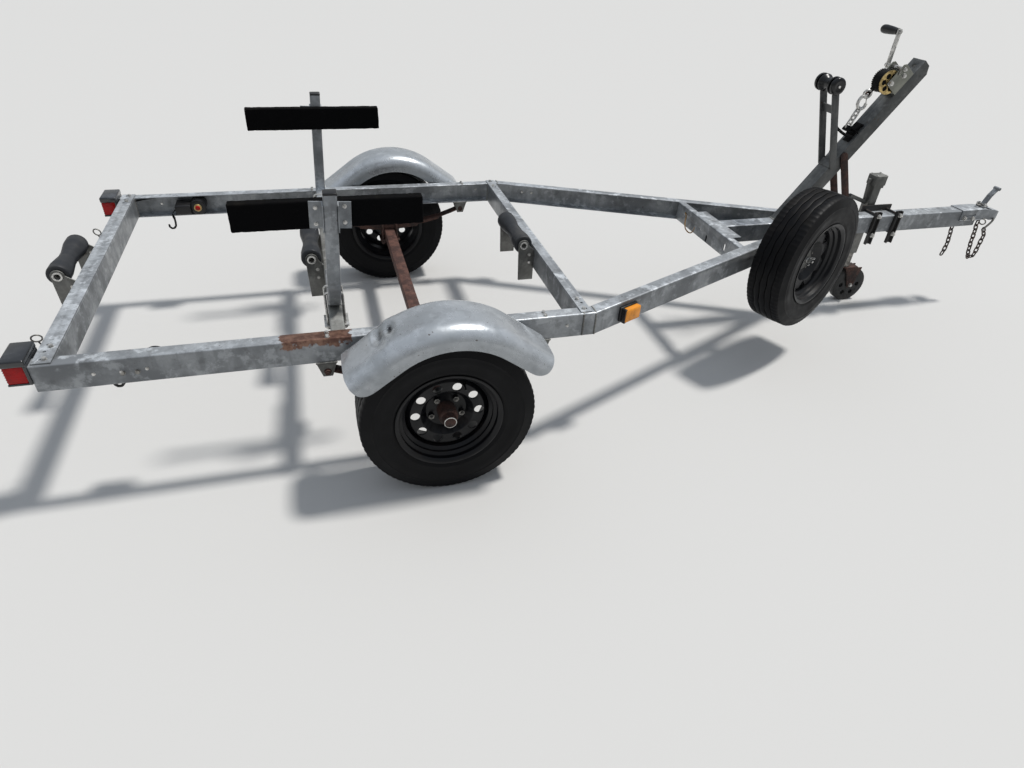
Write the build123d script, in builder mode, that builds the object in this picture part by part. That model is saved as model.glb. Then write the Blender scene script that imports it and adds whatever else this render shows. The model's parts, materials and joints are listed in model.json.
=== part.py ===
from build123d import *
import os
from math import atan2, cos, degrees, radians, sin, sqrt, tan

os.makedirs("parts", exist_ok=True)

# A galvanised single-axle boat trailer, parked on its jack with the frame level.
# Millimetres. X runs forward to the coupler, Y to the left, Z up from the ground.

# Sizes of the wheels and axle
axle_x = -992
tyre_radius = 310
tyre_width = 192
tyre_bead_radius = 178
tyre_bead_half = 76.6
wheel_gap = 30
rim_lip_radius = 190
rim_wall = 5
rim_inset = 10.5
rim_well_radius = 154
disc_wall = 7
disc_pad_radius = 72
disc_crown = 36
disc_crown_start = 94
disc_crown_end = 132
disc_edge = 12
lug_circle_radius = 57.15
lug_count = 5
lug_radius = 11
lug_height = 16
vent_count = 10
vent_circle_radius = 113
vent_radius = 17
spare_window_count = 8
spare_window_reach = 146
spare_window_root = 96
spare_window_angle = 30
hub_radius = 34
hub_flange = 10
hub_end = 60
hub_cap_radius = 24
hub_reach = 92
hub_bore_clearance = 0.4
hub_shoulder_gap = 1
spindle_radius = 16
spindle_end_gap = 20
axle_tube = 50

# Sizes of the frame
rail_top = 562
rail_height = 95
rail_flange = 50
rail_wall = 5
rail_corner = 6
tube_corner = 6
tube_bore_corner = 2
frame_half = 743
rail_rear = -1246
rail_seam = 545
rail_bend = 593
draw_angle = 24
rear_member_x = -1184
rear_member_flange = 54
guide_member_x = -335
guide_member_width = 50
guide_member_height = 76
guide_member_wall = 4
mid_member_x = 535
mid_member_flange = 42
front_member_x = 1476
front_member_flange = 30
front_plate_width = 333
front_plate_shift = -20
front_plate_length = 46
front_slot_length = 36
front_slot_width = 14
member_overlap = 42
member_hole_radius = 5

# Sizes of the tongue, mast, bow stop and winch
tongue_width = 80
tongue_height = 89
tongue_wall = 5
tongue_top = 556
tongue_front = 3150
mast_foot = 1862
mast_angle = 54.5
mast_length = 915
mast_width = 76
mast_depth = 62
mast_wall = 5
mast_nose = 25
mast_nose_length = 28
mast_hole_radius = 9
mast_hole_gap = 35
mast_drain_radius = 6
mast_drain_rise = 62
brace_along = 410
brace_foot_x = 2280
brace_drop = 40
brace_width = 38
brace_thickness = 6
bow_stop_along = 345
bow_stop_width = 34
bow_stop_thickness = 8
bow_stop_lean = 19.3
bow_stop_length = 385
bow_cross_drop = 112
bow_cross_width = 36
bow_axle_radius = 6
bow_roller_radius = 38
bow_roller_waist = 24
bow_bell_width = 22
winch_top_gap = 69
winch_length = 112
winch_depth = 80
winch_gap = 68
winch_wall = 4
winch_corner = 10
drum_rise = 16
drum_out = 68
drum_radius = 52
drum_axle_radius = 8
crank_rise = 92
crank_out = 60
crank_length = 138
crank_shaft_radius = 9
crank_arm_width = 24
crank_arm_gap = 30
crank_grip_length = 106
crank_grip_radius = 19.5
strap_width = 44
strap_wall = 3
ring_radius = 40
ring_wire = 9
ring_back = 85
ring_drop = 92
chain_drop = 105
wrap_rise = 72
wrap_length = 82

# Sizes of the coupler and chains
coupler_wall = 4
coupler_rear = 3032
coupler_low = 501
coupler_lip = 6
coupler_slot_length = 90
coupler_slot_width = 10
ball_x = 3285
ball_radius = 25.4
socket_outer = 38
socket_drop = 20
socket_reach = 42
latch_width = 28
latch_wall = 9
link_length = 41
link_width = 26
link_wire = 7
link_gap = 0.5

# Sizes of the keel rollers and boat guides
roller_length = 296
roller_end_radius = 40
roller_waist_radius = 30
roller_pipe_radius = 17.5
roller_pipe_bore = 11
roller_rise = 16
roller_end_gap = 2
keel_ring_radius = 24
keel_plate_wall = 6
keel_plate_drop = 52
guide_inset = 156
guide_tube = 44
guide_bend = 90
guide_leg = 200
guide_lean = 3.2
guide_tops = {"right": 1000, "left": 1042}
angle_flange = 45
angle_height = 90
angle_wall = 5
board_tops = {"right": 967, "left": 995}
board_rears = {"right": -627, "left": -616}
board_fronts = {"right": -11, "left": -36}
board_height = 96
board_thickness = 42
board_corner = 6

# Sizes of the tie-down reels
reel_x = -912
reel_radius = 37
reel_width = 76
knob_radius = 12
knob_reach = 14
block_length = 70
block_height = 44
block_width = 88
tie_strap_width = 36
tie_strap_wall = 4
hook_back = 116
hook_drop = 36
hook_radius = 23
hook_wire = 8

# Sizes of the springs, fenders and spare
spring_reach = 385
spring_width = 44
spring_leaf = 8
spring_leaves = 3
spring_eye_height = 437
spring_eye_radius = 17
spring_pin_radius = 6.5
hanger_wall = 5
hanger_top = 34
hanger_foot = 16
fender_centres = {"right": 12, "left": 45}
fender_radius = 362
fender_centre_height = 338
fender_half_angle = 36
fender_flare = 170
fender_skirt = 72
fender_width = 236
fender_wall = 3
fender_inner_corner = 48
fender_outer_corner = 55
fender_end_corner = 50
fender_gap = 14
fender_pad_radius = 18
fender_pad_along = 110
fender_pad_depth = 50
spare_radius = 310
spare_width = 185
spare_along = 1215
spare_offset = 240
spare_height = 528
spare_stud_radius = 11
spare_washer_radius = 46

# Sizes of the jack
jack_x = 2499
jack_y = 86
jack_tube = 50
jack_tube_wall = 3
jack_tube_low = 303
jack_tube_high = 686
jack_head_length = 78
jack_head_width = 62
jack_head_height = 49
jack_collar = 60
jack_collar_height = 14
jack_crank_drop = 118
jack_grip_length = 105
jack_grip_radius = 12
jack_grip_tilt = 20
jack_pivot_height = 512
jack_pivot_radius = 40
jack_leg_bottom = 216
jack_leg_top = 560
jack_wheel_radius = 100
jack_wheel_width = 40
jack_window_count = 6
jack_window_radius = 13
jack_window_circle = 55
jack_trail = 60
jack_fork_wall = 6
joint_gap = 0.3
mount_x = 2522
mount_length = 185
mount_plate = 8
mount_channels = (2455, 2590)
mount_channel_rise = 26
mount_channel_drop = 60

# Places that follow from the sizes
rail_mid = rail_top - rail_height / 2
rail_bottom = rail_top - rail_height
tongue_mid = tongue_top - tongue_height / 2
tongue_bottom = tongue_top - tongue_height
tyre_inner_y = frame_half + wheel_gap
wheel_mid_y = tyre_inner_y + tyre_width / 2
roller_height = rail_top + roller_rise
guide_y = frame_half - guide_inset
draw_slope = tan(radians(draw_angle))
draw_dir = (cos(radians(draw_angle)), sin(radians(draw_angle)))
mast_dir = (cos(radians(mast_angle)), sin(radians(mast_angle)))
sides = (("right", -1), ("left", 1))


def keep(part, name):
    """Give a finished piece its name and write it."""
    part.label = name
    export_step(part, "parts/" + name + ".step")


def at(dx):
    """Turn a distance ahead of the axle into X."""
    return axle_x + dx


def channel_sketch(height, flange, wall, corner):
    """Draw a C section with its web on the local Y axis and its flanges along +X."""
    with BuildSketch() as section:
        Rectangle(flange, height, align=(Align.MIN, Align.CENTER))
        with Locations((wall, 0)):
            Rectangle(flange, height - 2 * wall, align=(Align.MIN, Align.CENTER), mode=Mode.SUBTRACT)
        fillet(section.vertices().group_by(Axis.X)[0], radius=corner)
    return section.sketch


def on_mast(along, out):
    """A point in the side view: a distance up the mast and a distance off its rear face."""
    return (
        at(mast_foot) + along * mast_dir[0] - out * mast_dir[1],
        tongue_top + along * mast_dir[1] + out * mast_dir[0],
    )


def bar(start, end, width):
    """Draw a bar with round ends between two points of the side view."""
    run = end[0] - start[0]
    rise = end[1] - start[1]
    middle = ((start[0] + end[0]) / 2, (start[1] + end[1]) / 2, 0)
    with Locations(Location(middle, (0, 0, degrees(atan2(rise, run))))):
        SlotCenterToCenter(sqrt(run ** 2 + rise ** 2), width)


def side_plane(y):
    """The plane of the side view at a distance to the left: local X forward, local Y up."""
    return Plane(origin=(0, y, 0), x_dir=(1, 0, 0), z_dir=(0, -1, 0))


# Side rails, straight channels with the web outside
with BuildPart() as side_rail:
    rail_plane = Plane(origin=(at(rail_rear), -frame_half, rail_mid), x_dir=(0, 1, 0), z_dir=(1, 0, 0))
    with BuildSketch(rail_plane):
        add(channel_sketch(rail_height, rail_flange, rail_wall, rail_corner))
    extrude(amount=rail_seam - rail_rear)
keep(side_rail.part, "side_rail_right")
with BuildPart() as side_rail_left:
    add(mirror(side_rail.part, about=Plane.XZ))
keep(side_rail_left.part, "side_rail_left")

# Draw rails, bent inward and cut along the tongue's side
draw_end = rail_bend + (frame_half - tongue_width / 2) / draw_slope + rail_flange
with BuildPart() as draw_rail:
    with BuildLine():
        draw_path = Polyline(
            (at(rail_seam), -frame_half, rail_mid),
            (at(rail_bend), -frame_half, rail_mid),
            (at(draw_end), -frame_half + (draw_end - rail_bend) * draw_slope, rail_mid),
        )
    with BuildSketch(Plane(origin=(at(rail_seam), -frame_half, rail_mid), x_dir=(0, 1, 0), z_dir=(1, 0, 0))):
        add(channel_sketch(rail_height, rail_flange, rail_wall, rail_corner))
    sweep(path=draw_path, transition=Transition.RIGHT)
    split(bisect_by=Plane.XZ.offset(tongue_width / 2), keep=Keep.TOP)
keep(draw_rail.part, "draw_rail_right")
with BuildPart() as draw_rail_left:
    add(mirror(draw_rail.part, about=Plane.XZ))
keep(draw_rail_left.part, "draw_rail_left")


def flanged_member(web_x, flange, toward, inner_half, name):
    """A cross channel whose top flange laps over the side rails and is bolted there."""
    with BuildPart() as member:
        plane = Plane(origin=(at(web_x), -inner_half, rail_mid), x_dir=(toward, 0, 0), z_dir=(0, toward, 0))
        if toward < 0:
            plane = Plane(origin=(at(web_x), inner_half, rail_mid), x_dir=(-1, 0, 0), z_dir=(0, -1, 0))
        with BuildSketch(plane):
            add(channel_sketch(rail_height, flange, rail_wall, rail_corner))
        extrude(amount=2 * inner_half)
        with BuildSketch(Plane.XY.offset(rail_top)):
            with Locations((at(web_x) + toward * flange / 2, 0)):
                Rectangle(flange, 2 * (inner_half + member_overlap))
            hole_places = [
                (at(web_x) + toward * flange * 0.6, side * (inner_half + member_overlap * share))
                for side in (-1, 1)
                for share in (0.5, -0.6, -1.6)
            ]
            with Locations(*hole_places):
                Circle(member_hole_radius, mode=Mode.SUBTRACT)
        extrude(amount=rail_wall)
    keep(member.part, name)


rail_clear_half = frame_half - rail_flange
flanged_member(rear_member_x, rear_member_flange, -1, rail_clear_half, "rear_crossmember")
flanged_member(mid_member_x, mid_member_flange, 1, rail_clear_half, "mid_crossmember")

# Guide crossmember, a tube let into both rails
guide_member_top = rail_top - rail_wall
guide_bore_width = guide_member_width - 2 * guide_member_wall
guide_bore_height = guide_member_height - 2 * guide_member_wall
with BuildPart() as guide_member:
    with BuildSketch(Plane(origin=(at(guide_member_x), -frame_half + rail_wall, guide_member_top),
                           x_dir=(1, 0, 0), z_dir=(0, 1, 0))):
        with Locations((0, guide_member_height / 2)):
            RectangleRounded(guide_member_width, guide_member_height, tube_corner)
            RectangleRounded(guide_bore_width, guide_bore_height, tube_bore_corner, mode=Mode.SUBTRACT)
    extrude(amount=2 * (frame_half - rail_wall))
keep(guide_member.part, "guide_crossmember")

# Front crossmember between the draw rails, cut to their angle, with a plate over the tongue's end
# Its web's slots and holes are given by the distance to the left and the height from the middle
front_slots = ((-18, -26), (-179, -2))
front_holes = ((51, -6), (210, 2))
front_half = frame_half - (front_member_x - rail_bend) * draw_slope - rail_flange / draw_dir[0]
front_half_ahead = front_half - front_member_flange * draw_slope
with BuildPart() as front_member:
    with BuildSketch(Plane(origin=(at(front_member_x), -front_half, rail_mid), x_dir=(1, 0, 0), z_dir=(0, 1, 0))):
        add(channel_sketch(rail_height, front_member_flange, rail_wall, rail_corner))
    extrude(amount=2 * front_half)
    with BuildSketch(Plane.XY.offset(rail_bottom)):
        for side in (-1, 1):
            with BuildLine():
                Polyline(
                    (at(front_member_x), side * front_half),
                    (at(front_member_x + front_member_flange), side * front_half_ahead),
                    (at(front_member_x + front_member_flange), side * (front_half + 5)),
                    (at(front_member_x), side * (front_half + 5)),
                    close=True,
                )
            make_face()
    extrude(amount=rail_height, mode=Mode.SUBTRACT)
    with BuildSketch(Plane.XY.offset(tongue_top)):
        with Locations((at(front_member_x + front_member_flange), front_plate_shift)):
            Rectangle(front_plate_length, front_plate_width, align=(Align.MIN, Align.CENTER))
    extrude(amount=rail_top - tongue_top)
    with BuildSketch(Plane(origin=(at(front_member_x), 0, rail_mid), x_dir=(0, 1, 0), z_dir=(1, 0, 0))):
        with Locations(*front_slots):
            SlotOverall(front_slot_length, front_slot_width, rotation=90)
        with Locations(*front_holes):
            Circle(member_hole_radius)
    extrude(amount=rail_wall, mode=Mode.SUBTRACT)
keep(front_member.part, "front_crossmember")

# Tongue, a square tube from the front crossmember to the coupler
with BuildPart() as tongue:
    with BuildSketch(Plane.YZ.offset(at(front_member_x + front_member_flange))):
        with Locations((0, tongue_mid)):
            RectangleRounded(tongue_width, tongue_height, tube_corner)
            RectangleRounded(tongue_width - 2 * tongue_wall, tongue_height - 2 * tongue_wall, tube_bore_corner,
                             mode=Mode.SUBTRACT)
    extrude(amount=tongue_front - front_member_x - front_member_flange)
keep(tongue.part, "tongue")

# Coupler, a pressed sleeve over the tongue's front with a ball socket and a raised latch
sleeve_half = tongue_width / 2 + coupler_wall
coupler_top = tongue_top + coupler_wall
socket_floor = tongue_top - socket_drop
socket_low = socket_floor - socket_reach
nose_x = at(ball_x) + socket_outer
coupler_shoulder = at(tongue_front) + 30
latch_foot = (at(ball_x) - 80, tongue_top + 12)
latch_knee = (latch_foot[0] + 20, latch_foot[1] + 52)
latch_tip = (latch_foot[0] + 49, latch_foot[1] + 91)
with BuildPart() as coupler:
    with BuildSketch(Plane.XY.offset(socket_low)):
        with BuildLine():
            Polyline(
                (at(coupler_rear), -sleeve_half), (at(tongue_front), -sleeve_half),
                (at(ball_x), -socket_outer), (at(ball_x), socket_outer),
                (at(tongue_front), sleeve_half), (at(coupler_rear), sleeve_half), close=True,
            )
        make_face()
        with Locations((at(ball_x), 0)):
            Circle(socket_outer)
    extrude(amount=coupler_top - socket_low)
    with BuildSketch(Plane.XY.offset(coupler_low)):
        with Locations((at(coupler_rear), 0)):
            Rectangle(coupler_shoulder - at(coupler_rear), 2 * (sleeve_half + coupler_lip),
                      align=(Align.MIN, Align.CENTER))
    extrude(amount=coupler_wall)
    with BuildSketch(Plane.XY.offset(socket_low)):
        with BuildLine():
            Polyline(
                (at(coupler_rear), -tongue_width / 2), (at(tongue_front), -tongue_width / 2),
                (at(ball_x) - socket_outer, -socket_outer + 2), (at(ball_x) - socket_outer, socket_outer - 2),
                (at(tongue_front), tongue_width / 2), (at(coupler_rear), tongue_width / 2), close=True,
            )
        make_face()
    extrude(amount=tongue_top - socket_low, mode=Mode.SUBTRACT)
    with BuildSketch(side_plane(0)):
        with BuildLine():
            Polyline(
                (at(coupler_rear), socket_low), (at(ball_x) - socket_outer, socket_low),
                (at(ball_x) - socket_outer - 12, coupler_low), (at(coupler_rear), coupler_low), close=True,
            )
        make_face()
        with BuildLine():
            Polyline(
                (coupler_shoulder, coupler_top), (at(ball_x) - 20, tongue_top - 6), (nose_x, tongue_top - 22),
                (nose_x, coupler_top), close=True,
            )
        make_face()
    extrude(amount=sleeve_half + coupler_lip, both=True, mode=Mode.SUBTRACT)
    with BuildSketch(Plane.XY.offset(socket_low)):
        with Locations((at(ball_x), 0)):
            Circle(ball_radius)
    extrude(amount=socket_reach, mode=Mode.SUBTRACT)
    with BuildSketch(side_plane(0)):
        with Locations(((at(coupler_rear) + at(tongue_front)) / 2, tongue_top - 26)):
            SlotOverall(coupler_slot_length, coupler_slot_width)
    extrude(amount=sleeve_half, both=True, mode=Mode.SUBTRACT)
    with BuildSketch(side_plane(0)):
        bar(latch_foot, latch_knee, latch_wall)
        bar(latch_knee, latch_tip, latch_wall)
    extrude(amount=latch_width / 2, both=True)
    with BuildSketch(side_plane(0)):
        with Locations((latch_foot[0], tongue_top)):
            Rectangle(44, 20)
        with Locations(latch_tip):
            Circle(latch_wall)
    extrude(amount=latch_width / 2 + 4, both=True)
keep(coupler.part, "coupler")

# Winch mast, a leaning channel welded on the tongue, its flanges cut back at the top
mast_plane = Plane(
    origin=(at(mast_foot), 0, tongue_top),
    x_dir=(mast_dir[1], 0, -mast_dir[0]),
    z_dir=(mast_dir[0], 0, mast_dir[1]),
)
mast_holes = ((mast_length - mast_hole_gap, mast_hole_radius), (mast_drain_rise, mast_drain_radius))
with BuildPart() as mast:
    with BuildSketch(mast_plane.offset(-mast_depth)):
        Rectangle(mast_depth, mast_width, align=(Align.MIN, Align.CENTER))
        with Locations((mast_wall, 0)):
            Rectangle(mast_depth, mast_width - 2 * mast_wall, align=(Align.MIN, Align.CENTER), mode=Mode.SUBTRACT)
    extrude(amount=mast_length + mast_depth)
    split(bisect_by=Plane.XY.offset(tongue_top), keep=Keep.TOP)
    with BuildSketch(side_plane(0)):
        with BuildLine():
            Polyline(
                on_mast(mast_length, mast_nose - mast_depth), on_mast(mast_length, -mast_depth),
                on_mast(mast_length - mast_nose_length, -mast_depth), close=True,
            )
        make_face()
    extrude(amount=mast_width / 2, both=True, mode=Mode.SUBTRACT)
    for along, radius in mast_holes:
        hole_x, hole_z = on_mast(along, 0)
        with BuildSketch(Plane(origin=(hole_x, 0, hole_z), x_dir=(0, 1, 0), z_dir=(-mast_dir[1], 0, mast_dir[0]))):
            Circle(radius)
        extrude(amount=-mast_wall, mode=Mode.SUBTRACT)
keep(mast.part, "winch_mast")

# Braces, two flat bars from the mast's sides down to the tongue
brace_top = on_mast(brace_along, -20)
brace_foot = (at(brace_foot_x), tongue_top - brace_drop)
with BuildPart() as braces:
    for side in (-1, 1):
        with BuildSketch(side_plane(side * tongue_width / 2)):
            bar(brace_top, brace_foot, brace_width)
        extrude(amount=-side * brace_thickness)
keep(braces.part, "mast_braces")

# Bow stop, two uprights on the mast's sides with a cross bar and a plate on the mast's face
stop_foot = on_mast(bow_stop_along, -8)
stop_lean = (sin(radians(bow_stop_lean)), cos(radians(bow_stop_lean)))
stop_top = (stop_foot[0] - bow_stop_length * stop_lean[0], stop_foot[1] + bow_stop_length * stop_lean[1])
stop_cross = (stop_top[0] + bow_cross_drop * stop_lean[0], stop_top[1] - bow_cross_drop * stop_lean[1])
with BuildPart() as bow_stop:
    for side in (-1, 1):
        with BuildSketch(side_plane(side * mast_width / 2)):
            bar(stop_foot, stop_top, bow_stop_width)
            with Locations(stop_top):
                Circle(bow_axle_radius + 0.5, mode=Mode.SUBTRACT)
        extrude(amount=-side * bow_stop_thickness)
    with BuildSketch(side_plane(0)):
        with Locations(Location((stop_cross[0], stop_cross[1], 0), (0, 0, bow_stop_lean))):
            Rectangle(bow_stop_thickness, bow_cross_width)
        with BuildLine():
            Polyline(
                on_mast(bow_stop_along - bow_stop_width / 2, 0), on_mast(bow_stop_along + bow_stop_width / 2, 0),
                on_mast(bow_stop_along + bow_stop_width / 2, mast_wall),
                on_mast(bow_stop_along - bow_stop_width / 2, mast_wall), close=True,
            )
        make_face()
    extrude(amount=mast_width / 2, both=True)
keep(bow_stop.part, "bow_stop")

# Bow roller, a rubber spool between the uprights with a rubber bell outside each
bell_start = mast_width / 2 + bow_stop_thickness + 1.5
bell_end = bell_start + bow_bell_width
spool_half = mast_width / 2 - 1.5
with BuildPart() as bow_roller:
    with BuildSketch(Plane(origin=(stop_top[0], 0, stop_top[1]), x_dir=(0, 1, 0), z_dir=(1, 0, 0))):
        with BuildLine():
            Polyline(
                (-bell_end, 0), (-bell_end, bow_roller_waist), (-bell_end + 7, bow_roller_radius),
                (-bell_start, bow_roller_radius), (-bell_start, bow_axle_radius), (-spool_half, bow_axle_radius),
                (-spool_half, bow_roller_radius), (-14, bow_roller_waist), (14, bow_roller_waist),
                (spool_half, bow_roller_radius), (spool_half, bow_axle_radius), (bell_start, bow_axle_radius),
                (bell_start, bow_roller_radius), (bell_end - 7, bow_roller_radius), (bell_end, bow_roller_waist),
                (bell_end, 0), close=True,
            )
        make_face()
    revolve(axis=Axis((stop_top[0], 0, stop_top[1]), (0, 1, 0)))
keep(bow_roller.part, "bow_roller")

# Winch frame, two side plates on a base bolted to the mast
winch_high = mast_length - winch_top_gap
winch_low = winch_high - winch_length
drum_place = on_mast(winch_low + drum_rise, drum_out)
crank_place = on_mast(winch_low + crank_rise, crank_out)
with BuildPart() as winch_frame:
    with BuildSketch(side_plane(-winch_gap / 2)):
        with BuildLine():
            Polyline(
                on_mast(winch_low, 0), on_mast(winch_high, 0), on_mast(winch_high, winch_depth - winch_corner),
                on_mast(winch_high - winch_corner, winch_depth), on_mast(winch_low, winch_depth), close=True,
            )
        make_face()
        with Locations(drum_place):
            Circle(drum_axle_radius + 0.5, mode=Mode.SUBTRACT)
        with Locations(crank_place):
            Circle(crank_shaft_radius + 0.5, mode=Mode.SUBTRACT)
    extrude(amount=winch_wall)
    mirror(about=Plane.XZ)
    with BuildSketch(side_plane(0)):
        with BuildLine():
            Polyline(
                on_mast(winch_low, 0), on_mast(winch_high, 0), on_mast(winch_high, winch_wall),
                on_mast(winch_low, winch_wall), close=True,
            )
        make_face()
    extrude(amount=winch_gap / 2, both=True)
keep(winch_frame.part, "winch_frame")

# Winch drum, wound full of strap between two flanges
drum_half = winch_gap / 2 - 5
drum_end = winch_gap / 2 + winch_wall
roll_half = drum_half - 3
roll_radius = drum_radius - 3
with BuildPart() as drum:
    with BuildSketch(Plane(origin=(drum_place[0], 0, drum_place[1]), x_dir=(0, 1, 0), z_dir=(1, 0, 0))):
        with BuildLine():
            Polyline(
                (-drum_end, 0), (-drum_end, drum_axle_radius), (-drum_half, drum_axle_radius),
                (-drum_half, drum_radius), (-roll_half, drum_radius), (-roll_half, roll_radius),
                (roll_half, roll_radius), (roll_half, drum_radius), (drum_half, drum_radius),
                (drum_half, drum_axle_radius), (drum_end, drum_axle_radius), (drum_end, 0), close=True,
            )
        make_face()
    revolve(axis=Axis((drum_place[0], 0, drum_place[1]), (0, 1, 0)))
keep(drum.part, "winch_drum")

# Winch crank, a shaft through the frame with a flat arm and a tapered grip
crank_arm_y = winch_gap / 2 + winch_wall + crank_arm_gap
arm_wall = 6
with BuildPart() as crank:
    with BuildSketch(side_plane(-drum_end - 4)):
        with Locations(crank_place):
            Circle(crank_shaft_radius)
    extrude(amount=-(crank_arm_y + drum_end + 4))
    with BuildSketch(side_plane(crank_arm_y)):
        bar(crank_place, (crank_place[0], crank_place[1] + crank_length), crank_arm_width)
    extrude(amount=-arm_wall)
    with BuildSketch(Plane(origin=(crank_place[0], crank_arm_y + arm_wall, crank_place[1] + crank_length),
                           x_dir=(0, 1, 0), z_dir=(1, 0, 0))):
        with BuildLine():
            Polyline(
                (0, 0), (0, crank_grip_radius * 0.7), (crank_grip_length * 0.8, crank_grip_radius),
                (crank_grip_length, crank_grip_radius * 0.7), (crank_grip_length, 0), close=True,
            )
        make_face()
    revolve(axis=Axis((crank_place[0], 0, crank_place[1] + crank_length), (0, 1, 0)))
keep(crank.part, "winch_crank")

# Winch strap, from the roll to its hook's ring, on to the mast, and wrapped round the mast there
ring_place = (drum_place[0] - ring_back, drum_place[1] - ring_drop)
tail_place = (ring_place[0] - ring_radius, ring_place[1] - chain_drop)
wrap_along = brace_along + wrap_rise
with BuildPart() as strap:
    with BuildSketch(side_plane(0)):
        strap_start = (drum_place[0] - roll_radius - 4, drum_place[1] - 12)
        bar(strap_start, (ring_place[0], ring_place[1] + ring_radius - 2), strap_wall)
    extrude(amount=strap_width / 2, both=True)
    with BuildSketch(side_plane(0)):
        with Locations(ring_place):
            Circle(ring_radius)
            Circle(ring_radius - ring_wire, mode=Mode.SUBTRACT)
        bar((ring_place[0] - 8, ring_place[1] - ring_radius + 4), tail_place, ring_wire)
    extrude(amount=ring_wire / 2, both=True)
    with BuildSketch(side_plane(0)):
        bar(tail_place, on_mast(wrap_along + 12, 2), strap_wall)
    extrude(amount=strap_width / 2, both=True)
    with BuildSketch(mast_plane.offset(wrap_along)):
        with Locations((-strap_wall - joint_gap, 0)):
            Rectangle(mast_depth + 2 * (strap_wall + joint_gap), mast_width + 2 * (strap_wall + joint_gap),
                      align=(Align.MIN, Align.CENTER))
        with Locations((-joint_gap, 0)):
            Rectangle(mast_depth + 2 * joint_gap, mast_width + 2 * joint_gap, align=(Align.MIN, Align.CENTER),
                      mode=Mode.SUBTRACT)
    extrude(amount=wrap_length)
keep(strap.part, "winch_strap")


def keel_set(name, axis_x, face_x, web_x):
    """A rubber keel roller on a pipe, held by two plates that stand on their crossmember's face."""
    arm_y = roller_length / 2 + roller_end_gap
    ring_place = (at(axis_x), roller_height)
    with BuildPart() as bracket:
        for side in (-1, 1):
            with BuildSketch(side_plane(side * arm_y)):
                with Locations(ring_place):
                    Circle(keel_ring_radius)
                with BuildLine():
                    Polyline(
                        (ring_place[0] - keel_ring_radius, roller_height),
                        (ring_place[0] - keel_ring_radius * 0.75, rail_bottom - keel_plate_drop),
                        (at(face_x), rail_bottom - keel_plate_drop), (at(face_x), rail_top - 2 * rail_wall),
                        (ring_place[0] + keel_ring_radius, roller_height), close=True,
                    )
                make_face()
                if web_x > face_x:
                    with Locations((at(face_x), rail_mid)):
                        Rectangle(web_x - face_x, rail_height - 2 * rail_wall, align=(Align.MIN, Align.CENTER))
                with Locations(ring_place):
                    Circle(roller_pipe_radius + 0.5, mode=Mode.SUBTRACT)
            extrude(amount=-side * keel_plate_wall)
    keep(bracket.part, "keel_bracket_" + name)
    half = roller_length / 2
    pipe_end = arm_y + keel_plate_wall + 4
    with BuildPart() as roller:
        with BuildSketch(Plane(origin=(at(axis_x), 0, roller_height), x_dir=(0, 1, 0), z_dir=(1, 0, 0))):
            with BuildLine():
                Polyline(
                    (-pipe_end, roller_pipe_bore), (-pipe_end, roller_pipe_radius), (-half, roller_pipe_radius),
                    (-half, roller_end_radius), (-half * 0.62, roller_end_radius), (0, roller_waist_radius),
                    (half * 0.62, roller_end_radius), (half, roller_end_radius), (half, roller_pipe_radius),
                    (pipe_end, roller_pipe_radius), (pipe_end, roller_pipe_bore), close=True,
                )
            make_face()
        revolve(axis=Axis((at(axis_x), 0, roller_height), (0, 1, 0)))
    keep(roller.part, "keel_roller_" + name)


# Each set's name, its axis, the face that its plates meet, and the web that they reach inside a channel
keel_sets = (
    ("rear", -1298, rear_member_x - rear_member_flange, rear_member_x - rail_wall),
    ("middle", -402, guide_member_x - guide_member_width / 2, guide_member_x - guide_member_width / 2),
    ("front", 486, mid_member_x, mid_member_x),
)
for keel_name, keel_x, keel_face, keel_web in keel_sets:
    keel_set(keel_name, keel_x, keel_face, keel_web)

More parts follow.
